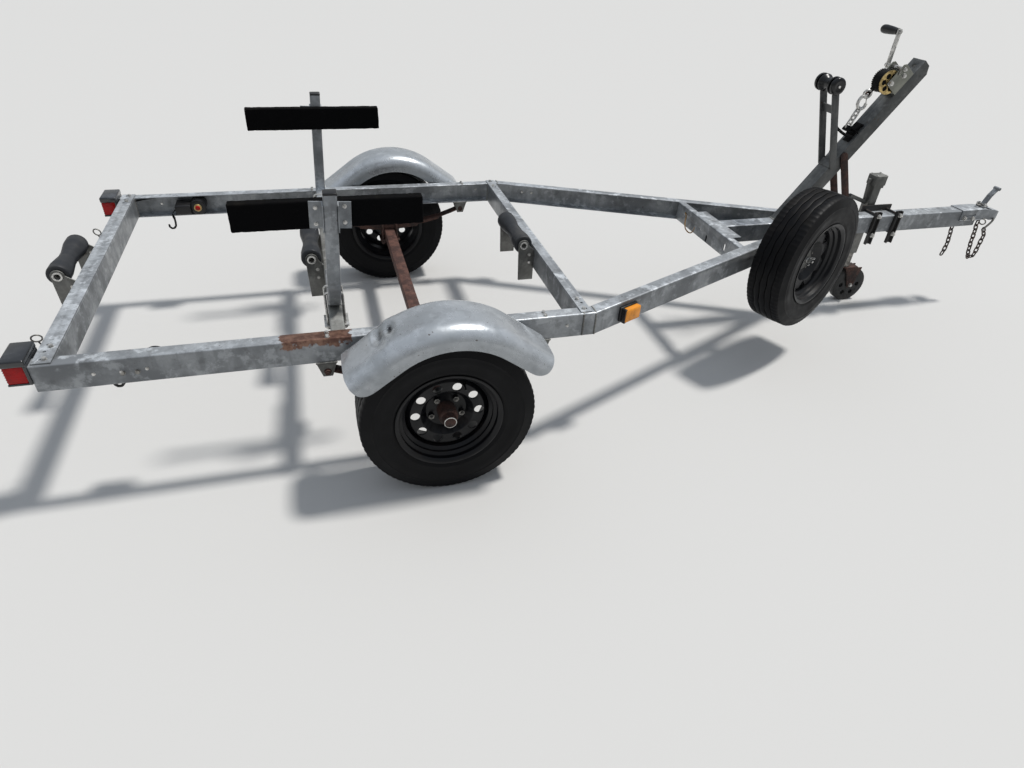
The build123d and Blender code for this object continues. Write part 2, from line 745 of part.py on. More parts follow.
# Boat guides: a bent tube leans up from the guide crossmember, and two angles on it hold a carpeted board
guide_up = (sin(radians(guide_lean)), 0, cos(radians(guide_lean)))
guide_leg_z = guide_member_top + guide_tube / 2
for side_name, side in sides:
    board_low = board_tops[side_name] - board_height
    angle_low = board_low + (board_height - angle_height) / 2
    post_turn = (at(guide_member_x), side * guide_y, guide_leg_z)
    with BuildPart() as post:
        with BuildLine():
            Polyline(
                (post_turn[0], side * (guide_y - guide_bend - guide_leg), guide_leg_z),
                post_turn,
                (post_turn[0] + (guide_tops[side_name] - guide_leg_z) * tan(radians(guide_lean)), post_turn[1],
                 guide_tops[side_name]),
            )
            turn_corner = vertices().sort_by(Axis.Z)[0:2].sort_by(lambda v: -abs(v.Y))[0]
            fillet(turn_corner, radius=guide_bend + guide_tube / 2)
        with BuildSketch(Plane(origin=(post_turn[0], side * (guide_y - guide_bend - guide_leg), guide_leg_z),
                               x_dir=(guide_up[2], 0, -guide_up[0]), z_dir=(0, side, 0))):
            RectangleRounded(guide_tube, guide_tube, tube_corner)
        sweep()
        split(bisect_by=Plane.XY.offset(guide_member_top), keep=Keep.TOP)
        angle_x = post_turn[0] + (angle_low - guide_leg_z) * tan(radians(guide_lean))
        with BuildSketch(Plane(origin=(angle_x, post_turn[1], angle_low), x_dir=(guide_up[2], 0, -guide_up[0]),
                               z_dir=guide_up)):
            for end in (-1, 1):
                with Locations((end * (guide_tube + angle_flange) / 2, -side * (guide_tube - angle_wall) / 2)):
                    Rectangle(angle_flange, angle_wall)
                with Locations((end * (guide_tube + angle_wall) / 2, -side * (guide_tube - angle_flange) / 2)):
                    Rectangle(angle_wall, angle_flange)
        extrude(amount=angle_height)
    keep(post.part, "guide_post_" + side_name)
    with BuildPart() as board:
        with BuildSketch(Plane.YZ.offset(at(board_rears[side_name]))):
            with Locations((side * (guide_y - guide_tube / 2 - board_thickness / 2), board_low + board_height / 2)):
                RectangleRounded(board_thickness, board_height, board_corner)
        extrude(amount=board_fronts[side_name] - board_rears[side_name])
    keep(board.part, "guide_board_" + side_name)

# Axle, a square tube with a spindle at each end
tube_half = tyre_inner_y + 14
with BuildPart() as axle:
    with BuildSketch(Plane.XZ):
        with Locations((axle_x, tyre_radius)):
            Rectangle(axle_tube, axle_tube)
    extrude(amount=tube_half, both=True)
    with BuildSketch(Plane.XZ):
        with Locations((axle_x, tyre_radius)):
            Circle(spindle_radius)
    extrude(amount=wheel_mid_y + hub_reach - spindle_end_gap, both=True)
keep(axle.part, "axle")

# Leaf springs, over the axle and under the rails
spring_y = frame_half - rail_flange / 2
seat_z = tyre_radius + axle_tube / 2
for side_name, side in sides:
    with BuildPart() as spring:
        rise = spring_eye_height - seat_z - spring_leaf * spring_leaves
        with BuildSketch(Plane(origin=(axle_x, side * spring_y, seat_z), x_dir=(1, 0, 0), z_dir=(0, -1, 0))):
            top = spring_leaf * spring_leaves
            with BuildLine():
                low_arc = ThreePointArc((-spring_reach, rise + top - spring_leaf), (0, top - spring_leaf),
                                        (spring_reach, rise + top - spring_leaf))
                high_arc = ThreePointArc((-spring_reach, rise + top), (0, top), (spring_reach, rise + top))
                Line(low_arc @ 0, high_arc @ 0)
                Line(low_arc @ 1, high_arc @ 1)
            make_face()
            for level in range(1, spring_leaves):
                reach = spring_reach * (1 - 0.3 * level)
                sag = rise * (reach / spring_reach) ** 2
                low = top - spring_leaf * (level + 1)
                with BuildLine():
                    under = ThreePointArc((-reach, low + sag), (0, low), (reach, low + sag))
                    over = ThreePointArc((-reach, low + sag + spring_leaf), (0, low + spring_leaf),
                                         (reach, low + sag + spring_leaf))
                    Line(under @ 0, over @ 0)
                    Line(under @ 1, over @ 1)
                make_face()
            eye_height = rise + top - spring_leaf / 2
            with Locations((-spring_reach, eye_height), (spring_reach, eye_height)):
                Circle(spring_eye_radius)
                Circle(spring_pin_radius + 0.5, mode=Mode.SUBTRACT)
        extrude(amount=spring_width / 2, both=True)
    keep(spring.part, "leaf_spring_" + side_name)

# Spring hangers under the rails, two plates and a pin at each spring eye
eye_z = spring_eye_height - spring_leaf / 2
with BuildPart() as hangers:
    for side_name, side in sides:
        for end in (-1, 1):
            eye_x = axle_x + end * spring_reach
            for cheek in (-1, 1):
                with BuildSketch(side_plane(side * spring_y + cheek * (spring_width / 2 + 1))):
                    with BuildLine():
                        Polyline(
                            (eye_x - hanger_top, rail_bottom), (eye_x + hanger_top, rail_bottom),
                            (eye_x + hanger_foot, eye_z - 20), (eye_x - hanger_foot, eye_z - 20), close=True,
                        )
                    make_face()
                extrude(amount=-cheek * hanger_wall)
            with BuildSketch(side_plane(side * spring_y)):
                with Locations((eye_x, eye_z)):
                    Circle(spring_pin_radius)
            extrude(amount=spring_width / 2 + hanger_wall + 5, both=True)
keep(hangers.part, "spring_hangers")

# Fenders, a deep U section with rounded shoulders along an arc and two straight flares
fender_inner_y = frame_half + fender_gap
fender_turn = (sin(radians(fender_half_angle)), cos(radians(fender_half_angle)))
arc_reach = fender_radius * fender_turn[0]
arc_height = fender_centre_height + fender_radius * fender_turn[1]
flare_reach = arc_reach + fender_flare * fender_turn[1]
flare_height = arc_height - fender_flare * fender_turn[0]


def fender_face(side, inset):
    """The fender's section filled in, smaller by an inset: a box with two rounded shoulders."""
    with BuildSketch() as face:
        with Locations((side * (fender_inner_y + fender_width / 2), -inset)):
            Rectangle(fender_width - 2 * inset, fender_skirt - inset, align=(Align.CENTER, Align.MAX))
        for nth, corner in ((0, fender_inner_corner), (-1, fender_outer_corner)):
            shoulder = face.vertices().group_by(Axis.Y)[-1].sort_by(lambda v: abs(v.X))[nth]
            fillet(shoulder, radius=corner - inset)
    return face.sketch


for side_name, side in sides:
    centre_x = at(fender_centres[side_name])
    with BuildPart() as fender:
        with BuildLine():
            Line((centre_x - flare_reach, 0, flare_height), (centre_x - arc_reach, 0, arc_height))
            ThreePointArc((centre_x - arc_reach, 0, arc_height), (centre_x, 0, fender_centre_height + fender_radius),
                          (centre_x + arc_reach, 0, arc_height))
            Line((centre_x + arc_reach, 0, arc_height), (centre_x + flare_reach, 0, flare_height))
        with BuildSketch(Plane(origin=(centre_x - flare_reach, 0, flare_height), x_dir=(0, 1, 0),
                               z_dir=(fender_turn[1], 0, fender_turn[0]))):
            add(fender_face(side, 0))
            add(fender_face(side, fender_wall), mode=Mode.SUBTRACT)
        sweep()
        for end in (-1, 1):
            toe_x = centre_x + end * (flare_reach - fender_skirt * fender_turn[0])
            toe_z = flare_height - fender_skirt * fender_turn[1]
            with BuildSketch(Plane(origin=(toe_x, 0, toe_z), x_dir=(end * fender_turn[1], 0, -fender_turn[0]),
                                   z_dir=(0, -end, 0))):
                with Locations((1, -1)):
                    Rectangle(fender_end_corner + 1, fender_end_corner + 1, align=(Align.MAX, Align.MIN))
                with Locations((-fender_end_corner, fender_end_corner)):
                    Circle(fender_end_corner, mode=Mode.SUBTRACT)
            extrude(amount=fender_inner_y + fender_width, both=True, mode=Mode.SUBTRACT)
    keep(fender.part, "fender_" + side_name)

# Fender pads, spacers between the rail's web and the skirt where the two overlap
pad_reach = arc_reach + fender_pad_along * fender_turn[1] - fender_pad_depth * fender_turn[0]
pad_height = arc_height - fender_pad_along * fender_turn[0] - fender_pad_depth * fender_turn[1]
with BuildPart() as fender_brackets:
    for side_name, side in sides:
        with BuildSketch(side_plane(side * frame_half)):
            with Locations(*[(at(fender_centres[side_name]) + end * pad_reach, pad_height) for end in (-1, 1)]):
                Circle(fender_pad_radius)
        extrude(amount=-side * fender_gap)
keep(fender_brackets.part, "fender_brackets")


def rim_solid(windows):
    """A steel wheel turned about local Z: lips, seats, a stepped well and a dished disc with windows."""
    half = tyre_width / 2 - rim_inset
    lip = rim_lip_radius
    seat = tyre_bead_radius
    well = rim_well_radius
    step = (seat + well) / 2
    wall = rim_wall
    with BuildPart() as rim:
        with BuildSketch(Plane.XZ):
            with BuildLine():
                Polyline(
                    (lip, -half), (lip, -half + 4), (seat, -half + 7.6), (seat, -half + 28), (well, -half + 50),
                    (well, half - 53), (step, half - 45), (step, half - 34), (seat, half - 28),
                    (seat, half - 7.6), (lip, half - 4),
                    (lip, half), (lip - wall, half), (seat - wall, half - 9), (seat - wall, half - 25),
                    (step - wall, half - 31), (step - wall, half - 41), (well - wall, half - 49),
                    (well - wall, -half + 47), (seat - wall, -half + 25), (seat - wall, -half + 9),
                    (lip - wall, -half), close=True,
                )
            make_face()
            with BuildLine():
                Polyline(
                    (hub_radius, 0), (hub_radius, disc_wall), (disc_pad_radius, disc_wall),
                    (disc_crown_start, disc_crown), (disc_crown_end, disc_crown), (well - wall / 2, disc_edge),
                    (well - wall / 2, disc_edge - disc_wall), (disc_crown_end - 3, disc_crown - disc_wall),
                    (disc_crown_start + 3, disc_crown - disc_wall), (disc_pad_radius + 3, 0), close=True,
                )
            make_face()
        revolve(axis=Axis.Z)
        with BuildSketch():
            add(windows)
        extrude(amount=disc_crown, mode=Mode.SUBTRACT)
    return rim.part


def hub_solid():
    """A hub turned about local Z: a bored barrel, the flange behind the disc and a dust cap."""
    back = tube_half + hub_shoulder_gap - wheel_mid_y
    bore = spindle_radius + hub_bore_clearance
    bore_end = hub_reach - spindle_end_gap + 4
    with BuildPart() as hub:
        with BuildSketch(Plane.XZ):
            with BuildLine():
                Polyline(
                    (bore, back), (hub_radius, back), (hub_radius, -hub_flange), (disc_pad_radius, -hub_flange),
                    (disc_pad_radius, 0), (hub_radius, 0), (hub_radius, hub_end), (hub_cap_radius, hub_end),
                    (hub_cap_radius, hub_reach - 6), (hub_cap_radius - 5, hub_reach), (0, hub_reach), (0, bore_end),
                    (bore, bore_end), close=True,
                )
            make_face()
        revolve(axis=Axis.Z)
    return hub.part


def tyre_solid(outer, width, clearance):
    """A tyre turned about local Z, a full ring that follows the rim's seat and lips at a clearance."""
    half = width / 2
    bead = tyre_bead_radius + clearance
    with BuildPart() as tyre:
        with BuildSketch(Plane.XZ):
            with BuildLine():
                Polyline(
                    (bead, -tyre_bead_half), (bead + 62, -half), (outer - 20, -half + 10), (outer, -half + 34),
                    (outer, half - 34), (outer - 20, half - 10), (bead + 62, half), (bead, tyre_bead_half),
                    close=True,
                )
            make_face()
        revolve(axis=Axis.Z)
    return tyre.part


window_corner = (
    spare_window_reach * cos(radians(spare_window_angle / 2)),
    spare_window_reach * sin(radians(spare_window_angle / 2)),
)
with BuildSketch() as round_vents:
    with PolarLocations(vent_circle_radius, vent_count):
        Circle(vent_radius)
with BuildSketch() as spoke_windows:
    with PolarLocations(0, spare_window_count):
        Polygon((spare_window_root, 0), (window_corner[0], window_corner[1]), (window_corner[0], -window_corner[1]),
                align=None)

wheel = rim_solid(round_vents.sketch)
hub_body = hub_solid()
tyre_body = tyre_solid(tyre_radius, tyre_width, joint_gap)
for side_name, side in sides:
    wheel_plane = Plane(origin=(axle_x, side * wheel_mid_y, tyre_radius), x_dir=(1, 0, 0), z_dir=(0, side, 0))
    with BuildPart() as road_wheel:
        add(wheel_plane.location * wheel)
        add(wheel_plane.location * hub_body)
        with BuildSketch(wheel_plane.offset(disc_wall)):
            with PolarLocations(lug_circle_radius, lug_count, start_angle=side * 90):
                RegularPolygon(lug_radius, 6)
        extrude(amount=lug_height)
    keep(road_wheel.part, "wheel_" + side_name)
    with BuildPart() as road_tyre:
        add(wheel_plane.location * tyre_body)
    keep(road_tyre.part, "tyre_" + side_name)

# Spare wheel on a carrier beside the right draw rail
out_x = draw_dir[1]
out_y = -draw_dir[0]
spare_face = (
    at(rail_bend) + spare_along * draw_dir[0] + spare_offset * out_x,
    -frame_half + spare_along * draw_dir[1] + spare_offset * out_y,
)
spare_mid = (spare_face[0] - spare_width / 2 * out_x, spare_face[1] - spare_width / 2 * out_y)
spare_plane = Plane(origin=(spare_mid[0], spare_mid[1], spare_height), x_dir=(draw_dir[0], draw_dir[1], 0),
                    z_dir=(out_x, out_y, 0))
with BuildPart() as spare_rim:
    add(spare_plane.location * rim_solid(spoke_windows.sketch))
keep(spare_rim.part, "spare_wheel")
with BuildPart() as spare_tyre:
    add(spare_plane.location * tyre_solid(spare_radius, spare_width, joint_gap))
keep(spare_tyre.part, "spare_tyre")
carrier_plate = 6
carrier_flange = 12
carrier_tube = 50
carrier_back = spare_offset - spare_width / 2
with BuildPart() as carrier:
    with BuildSketch(spare_plane.offset(-carrier_back)):
        Rectangle(90, 80)
    extrude(amount=carrier_plate)
    with BuildSketch(spare_plane.offset(carrier_plate - carrier_back)):
        Rectangle(carrier_tube, carrier_tube)
    extrude(amount=carrier_back - carrier_plate - carrier_flange)
    with BuildSketch(spare_plane.offset(-carrier_flange)):
        Circle(disc_pad_radius)
    extrude(amount=carrier_flange)
    with BuildSketch(spare_plane):
        Circle(spare_stud_radius)
    extrude(amount=disc_crown)
    with BuildSketch(spare_plane.offset(disc_wall)):
        Circle(spare_washer_radius)
    extrude(amount=carrier_plate)
keep(carrier.part, "spare_carrier")

# Jack mount: a plate on the tongue's left side, clamped by two channels and four long bolts
with BuildPart() as jack_mount:
    with BuildSketch(side_plane(tongue_width / 2)):
        with Locations((at(mount_x), tongue_mid)):
            Rectangle(mount_length, 150)
    extrude(amount=-mount_plate)
    for place in mount_channels:
        with BuildSketch(Plane.XY.offset(tongue_bottom - mount_channel_drop)):
            with Locations((at(place), -tongue_width / 2)):
                Rectangle(36, 16, align=(Align.CENTER, Align.MAX))
                with Locations((0, -4)):
                    Rectangle(26, 12, align=(Align.CENTER, Align.MAX), mode=Mode.SUBTRACT)
        extrude(amount=mount_channel_drop + tongue_height + mount_channel_rise)
        with BuildSketch(side_plane(-tongue_width / 2 - 26)):
            with Locations((at(place), tongue_top + 7), (at(place), tongue_bottom - 7)):
                Circle(6)
        extrude(amount=-(tongue_width + 26 + mount_plate + 5))
keep(jack_mount.part, "jack_mount")

# Jack body: pivot disc, square outer tube, gear head and its hand crank
pivot_y = tongue_width / 2 + mount_plate + joint_gap
tube_face = jack_y - jack_tube / 2
head_middle = jack_tube_high + jack_head_height / 2
crank_top = (at(jack_x) - jack_head_length / 2 - 10, head_middle)
crank_low = (at(jack_x) - jack_tube / 2 - 9, head_middle - jack_crank_drop)
grip_end = (
    crank_low[0] - jack_grip_length * cos(radians(jack_grip_tilt)),
    crank_low[1] + jack_grip_length * sin(radians(jack_grip_tilt)),
)
with BuildPart() as jack_body:
    with BuildSketch(side_plane(pivot_y)):
        with Locations((at(jack_x), jack_pivot_height)):
            Circle(jack_pivot_radius)
    extrude(amount=-(tube_face - pivot_y))
    with BuildSketch(Plane.XY.offset(jack_tube_low)):
        with Locations((at(jack_x), jack_y)):
            RectangleRounded(jack_tube, jack_tube, 6)
            Rectangle(jack_tube - 2 * jack_tube_wall, jack_tube - 2 * jack_tube_wall, mode=Mode.SUBTRACT)
    extrude(amount=jack_tube_high - jack_tube_low)
    with BuildSketch(Plane.XY.offset(jack_tube_high)):
        with Locations((at(jack_x), jack_y)):
            RectangleRounded(jack_head_length, jack_head_width, 9)
    extrude(amount=jack_head_height)
    with BuildSketch(Plane.XY.offset(jack_tube_high - jack_collar_height)):
        with Locations((at(jack_x), jack_y)):
            Rectangle(jack_collar, jack_collar - 4)
            Rectangle(jack_tube - jack_tube_wall, jack_tube - jack_tube_wall, mode=Mode.SUBTRACT)
    extrude(amount=jack_collar_height)
    with BuildSketch(side_plane(jack_y)):
        bar(crank_top, (at(jack_x), head_middle), 14)
        bar(crank_top, crank_low, 8)
    extrude(amount=8, both=True)
    with BuildSketch(side_plane(jack_y)):
        bar(crank_low, grip_end, 2 * jack_grip_radius - 4)
    extrude(amount=jack_grip_radius - 2, both=True)
keep(jack_body.part, "jack_body")

# Jack leg, the inner tube that winds down
leg_radius = jack_tube / 2 - jack_tube_wall - joint_gap
with BuildPart() as jack_leg:
    with BuildSketch(Plane.XY.offset(jack_leg_bottom)):
        with Locations((at(jack_x), jack_y)):
            Circle(leg_radius)
            Circle(leg_radius - jack_tube_wall, mode=Mode.SUBTRACT)
    extrude(amount=jack_leg_top - jack_leg_bottom)
    with BuildSketch(Plane.XY.offset(jack_leg_bottom)):
        with Locations((at(jack_x), jack_y)):
            Circle(leg_radius)
    extrude(amount=jack_tube_wall)
keep(jack_leg.part, "jack_leg")

# Jack fork, a swivelling bent plate around the wheel
fork_inner = jack_wheel_width / 2 + 4
fork_top = jack_leg_bottom - joint_gap
with BuildPart() as jack_fork:
    with BuildSketch(Plane.XY.offset(fork_top - jack_fork_wall)):
        with Locations((at(jack_x), jack_y)):
            Circle(30)
        with Locations((at(jack_x + jack_trail / 2), jack_y)):
            Rectangle(jack_trail + 20, 2 * (fork_inner + jack_fork_wall))
    extrude(amount=jack_fork_wall)
    for side in (-1, 1):
        with BuildSketch(side_plane(jack_y + side * fork_inner)):
            with BuildLine():
                Polyline(
                    (at(jack_x) - 8, fork_top - jack_fork_wall),
                    (at(jack_x) + jack_trail + 40, fork_top - jack_fork_wall),
                    (at(jack_x) + jack_trail + 16, jack_wheel_radius - 14),
                    (at(jack_x) + jack_trail - 16, jack_wheel_radius - 14), close=True,
                )
            make_face()
            with Locations((at(jack_x) + jack_trail, jack_wheel_radius)):
                Circle(6.5, mode=Mode.SUBTRACT)
        extrude(amount=-side * jack_fork_wall)
keep(jack_fork.part, "jack_fork")

# Jack wheel, with a ring of round windows
with BuildPart() as jack_wheel:
    with BuildSketch(side_plane(jack_y - jack_wheel_width / 2)):
        with Locations((at(jack_x + jack_trail), jack_wheel_radius)):
            Circle(jack_wheel_radius)
            with PolarLocations(jack_window_circle, jack_window_count):
                Circle(jack_window_radius, mode=Mode.SUBTRACT)
    extrude(amount=-jack_wheel_width)
    with BuildSketch(side_plane(jack_y - fork_inner - jack_fork_wall - 3)):
        with Locations((at(jack_x + jack_trail), jack_wheel_radius)):
            Circle(6)
    extrude(amount=-2 * (fork_inner + jack_fork_wall + 3))
keep(jack_wheel.part, "jack_wheel")

# Tail lights on the rear ends of the side rails, a lens under the housing's top
light_length = 68
light_width = 120
light_height = 90
light_low = 500
light_overhang = 8
lens_height = 54
lens_inset = 3
for side_name, side in sides:
    light_place = (at(rail_rear) - light_length / 2, side * (frame_half + light_overhang - light_width / 2))
    with BuildPart() as light:
        with BuildSketch(Plane.XY.offset(light_low)):
            with Locations(light_place):
                RectangleRounded(light_length, light_width - 2 * lens_inset, 6)
        extrude(amount=lens_height)
        with BuildSketch(Plane.XY.offset(light_low + lens_height)):
            with Locations(light_place):
                RectangleRounded(light_length, light_width, 8)
        extrude(amount=light_height - lens_height)
    keep(light.part, "tail_light_" + side_name)

# Side markers on the draw rails
marker_along = 175
marker_length = 95
marker_height = 62
marker_depth = 36
with BuildPart() as markers:
    for side_name, side in sides:
        marker_x = at(rail_bend) + marker_along * draw_dir[0]
        marker_y = side * (frame_half - marker_along * draw_dir[1])
        marker_plane = Plane(origin=(marker_x, marker_y, rail_mid), x_dir=(draw_dir[0], -side * draw_dir[1], 0),
                             z_dir=(draw_dir[1], side * draw_dir[0], 0))
        with BuildSketch(marker_plane):
            RectangleRounded(marker_length, marker_height, 5)
        extrude(amount=marker_depth)
keep(markers.part, "side_markers")

# Tie-down reels inside the side rails: a round reel with its knob, a guide block and a short strap with its hook
reel_place = (at(reel_x), rail_mid)
block_place = (at(reel_x) - reel_radius - block_length / 2 + 6, rail_mid - 6)
hook_place = (at(reel_x) - hook_back, rail_bottom - hook_drop)
strap_top = (block_place[0] - block_length / 2 + 2, block_place[1])
with BuildPart() as tie_downs:
    for side_name, side in sides:
        web_y = side * (frame_half - rail_wall)
        strap_y = web_y - side * (block_width - tie_strap_width / 2 - 3)
        with BuildSketch(side_plane(web_y)):
            with Locations(reel_place):
                Circle(reel_radius)
        extrude(amount=side * reel_width)
        with BuildSketch(side_plane(web_y)):
            with Locations(block_place):
                Rectangle(block_length, block_height)
        extrude(amount=side * block_width)
        with BuildSketch(side_plane(web_y - side * reel_width)):
            with Locations(reel_place):
                Circle(knob_radius)
        extrude(amount=side * knob_reach)
        with BuildSketch(side_plane(strap_y)):
            bar(strap_top, (hook_place[0], hook_place[1] + hook_radius - 3), tie_strap_wall)
        extrude(amount=tie_strap_width / 2, both=True)
        with BuildSketch(side_plane(strap_y)):
            with Locations(hook_place):
                Circle(hook_radius)
                Circle(hook_radius - hook_wire, mode=Mode.SUBTRACT)
        extrude(amount=hook_wire / 2, both=True)
keep(tie_downs.part, "tie_downs")

# Safety chains, hanging under the tongue's front and from the coupler's side
# Each chain's first bar, its distance to the left, and the heading of each link in the side view
chain_runs = (
    (3058, tongue_bottom - link_wire / 2, 0, (-90, -76, -76, -80, -86, -95, -103)),
    (3176, coupler_low - link_wire / 2, -(sleeve_half - 3.5), (
        -90, -74, -76, -82, -82, -75, -76, -72, -56, 10, 78, 88, 92, 88, 86, 118, 128)),
)


def link_outline(inset):
    """An eight-sided racetrack, a wire's width or less inside the link's edge."""
    long = link_length / 2 - inset
    wide = link_width / 2 - inset
    cut = wide * 0.35
    return [
        (-long + cut, -wide), (long - cut, -wide), (long, -wide + cut), (long, wide - cut),
        (long - cut, wide), (-long + cut, wide), (-long, wide - cut), (-long, -wide + cut),
    ]


with BuildPart() as chain_link:
    with BuildSketch():
        for inset, mode in ((0, Mode.ADD), (link_wire, Mode.SUBTRACT)):
            with BuildLine():
                Polyline(*link_outline(inset), close=True)
            make_face(mode=mode)
    extrude(amount=link_wire / 2, both=True)
with BuildPart() as chains:
    for start_x, start_z, chain_y, headings in chain_runs:
        bar_x = at(start_x)
        bar_z = start_z
        before = None
        for number, heading in enumerate(headings):
            turn = radians(heading)
            along = (cos(turn), sin(turn))
            if before is not None:
                bend = radians(heading - before)
                seat = link_wire / 2 * (1 + abs(cos(bend)) + abs(sin(bend))) + link_gap
                flat = radians(heading if number % 2 == 0 else before)
                bar_x -= seat * cos(flat)
                bar_z -= seat * sin(flat)
            middle = (link_length - link_wire) / 2
            flat_normal = (0, -1, 0) if number % 2 == 0 else (sin(turn), 0, -cos(turn))
            link_plane = Plane(
                origin=(bar_x + middle * along[0], chain_y, bar_z + middle * along[1]),
                x_dir=(along[0], 0, along[1]), z_dir=flat_normal,
            )
            add(link_plane.location * chain_link.part)
            bar_x += 2 * middle * along[0]
            bar_z += 2 * middle * along[1]
            before = heading
keep(chains.part, "safety_chains")
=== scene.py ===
# %% [markdown]
# # A boat trailer, dressed for its photograph
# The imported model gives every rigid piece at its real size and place. This script keeps that frame, sets up
# the camera and the light, makes the finishes, and then builds the finer pieces one by one: tyres with their
# tread, wheels, carpeted guides, lamps, bolts, welds and straps. Lengths are in metres, with +X towards the
# coupler.

import json
import math

import bmesh
import bpy
import numpy as np
from mathutils import Matrix, Vector, noise


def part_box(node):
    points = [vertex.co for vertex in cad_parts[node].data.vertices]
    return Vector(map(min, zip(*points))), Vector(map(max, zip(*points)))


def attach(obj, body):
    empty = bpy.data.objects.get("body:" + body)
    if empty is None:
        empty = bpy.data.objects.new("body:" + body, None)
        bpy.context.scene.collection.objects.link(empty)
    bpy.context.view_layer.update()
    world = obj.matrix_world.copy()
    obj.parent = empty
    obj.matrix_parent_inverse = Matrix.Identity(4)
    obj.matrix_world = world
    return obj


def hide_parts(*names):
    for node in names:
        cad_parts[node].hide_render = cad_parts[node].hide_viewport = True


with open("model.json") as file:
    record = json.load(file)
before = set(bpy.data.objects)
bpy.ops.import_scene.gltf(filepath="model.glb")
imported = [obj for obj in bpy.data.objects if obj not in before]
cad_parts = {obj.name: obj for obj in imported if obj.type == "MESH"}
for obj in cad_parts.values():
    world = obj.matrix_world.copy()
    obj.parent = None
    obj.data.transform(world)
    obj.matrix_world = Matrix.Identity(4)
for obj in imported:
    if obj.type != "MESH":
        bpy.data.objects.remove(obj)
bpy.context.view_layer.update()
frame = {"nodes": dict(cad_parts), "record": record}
nodes = frame["nodes"]

# %% [markdown]
# ## The camera
# A phone held at head height looks down on the trailer from its right side. Its place, its turn from the +Y
# direction and its lens were worked out from the straight rails, the round wheels and the known size of a
# tyre. A camera looks along its own -Z with +Y up, so its matrix holds the right, up and backward directions.

# %% Camera
CAMERA_PLACE = Vector((-1.337, -2.684, 1.735))
CAMERA_TURN = math.radians(17.91)
CAMERA_DOWN = math.radians(35.47)
CAMERA_ROLL = math.radians(3.70)
LENS_MM = 23.0
SENSOR_MM = 36.0


def new_object(name, data):
    """Make an object of some data and link it into the scene."""
    made = bpy.data.objects.new(name, data)
    bpy.context.collection.objects.link(made)
    return made


ahead = Vector((
    math.sin(CAMERA_TURN) * math.cos(CAMERA_DOWN),
    math.cos(CAMERA_TURN) * math.cos(CAMERA_DOWN),
    -math.sin(CAMERA_DOWN),
))
level_right = Vector((math.cos(CAMERA_TURN), -math.sin(CAMERA_TURN), 0))
level_up = level_right.cross(ahead)
right = math.cos(CAMERA_ROLL) * level_right + math.sin(CAMERA_ROLL) * level_up
up = math.cos(CAMERA_ROLL) * level_up - math.sin(CAMERA_ROLL) * level_right
camera_data = bpy.data.cameras.new("camera")
camera_data.lens = LENS_MM
camera_data.sensor_width = SENSOR_MM
camera = new_object("camera", camera_data)
camera.matrix_world = Matrix.Translation(CAMERA_PLACE) @ Matrix((right, up, -ahead)).transposed().to_4x4()
bpy.context.scene.camera = camera
print("camera", round(CAMERA_PLACE.z, 3), "m up with a lens of", LENS_MM, "mm")

# %% [markdown]
# ## Shader helpers
# Every finish below is a node tree. A few short functions keep the trees readable: they add a node and set
# its inputs, mix and stretch values, and feed what they made to a material's Principled BSDF.


# %% Node helpers
def add_node(tree, kind, inputs=None, **settings):
    """Add a node of a kind, set its properties, and set or link its inputs."""
    made = tree.nodes.new(kind)
    for key, value in settings.items():
        setattr(made, key, value)
    for key, value in (inputs or {}).items():
        socket = made.inputs[key]
        if isinstance(value, bpy.types.NodeSocket):
            tree.links.new(value, socket)
        else:
            socket.default_value = value
    return made


def mix_colour(tree, factor, first, second, blend="MIX"):
    """Mix two colours, each a socket or a value, by a factor."""
    mixed = add_node(tree, "ShaderNodeMix", data_type="RGBA", blend_type=blend)
    for index, value in ((0, factor), (6, first), (7, second)):
        if isinstance(value, bpy.types.NodeSocket):
            tree.links.new(value, mixed.inputs[index])
        elif index == 0:
            mixed.inputs[index].default_value = value
        else:
            mixed.inputs[index].default_value = (*value, 1)
    return mixed.outputs[2]


def remap(tree, value, low, high, to_low=0.0, to_high=1.0):
    """Stretch a value from one range to another, clamped and eased at both ends."""
    ranged = add_node(tree, "ShaderNodeMapRange", {
        "Value": value, "From Min": low, "From Max": high, "To Min": to_low, "To Max": to_high,
    }, interpolation_type="SMOOTHSTEP")
    return ranged.outputs["Result"]


def worked(tree, operation, first, second=0.0):
    """One value worked out from one or two others, each a socket or a number."""
    return add_node(tree, "ShaderNodeMath", {0: first, 1: second}, operation=operation).outputs[0]


def up_to(tree, mask, share):
    """Ease a mask so that it runs from nothing to a share."""
    return remap(tree, mask, 0.0, 1.0, 0.0, share)


def upward(tree):
    """How far a face looks up, from -1 to 1."""
    normal = add_node(tree, "ShaderNodeNewGeometry").outputs["Normal"]
    return add_node(tree, "ShaderNodeSeparateXYZ", {"Vector": normal}).outputs["Z"]


# %% Materials and what feeds them
def new_material(name, roughness=0.6, metallic=0.0):
    """Make a material and return it with its tree, its shader and its Object coordinates."""
    material = bpy.data.materials.new(name)
    material.use_nodes = True
    tree = material.node_tree
    shader = tree.nodes["Principled BSDF"]
    shader.inputs["Roughness"].default_value = roughness
    shader.inputs["Metallic"].default_value = metallic
    coords = add_node(tree, "ShaderNodeTexCoord").outputs["Object"]
    return material, tree, shader, coords


def bump(tree, shader, height, strength, distance):
    """Feed a height to the shader's normal."""
    made = add_node(tree, "ShaderNodeBump", {"Height": height, "Strength": strength, "Distance": distance})
    tree.links.new(made.outputs["Normal"], shader.inputs["Normal"])


def grainy(tree, shader, coords, scale, detail, strength, distance):
    """Give the surface a fine grain."""
    grain = add_node(tree, "ShaderNodeTexNoise", {"Vector": coords, "Scale": scale, "Detail": detail})
    bump(tree, shader, grain.outputs["Fac"], strength, distance)


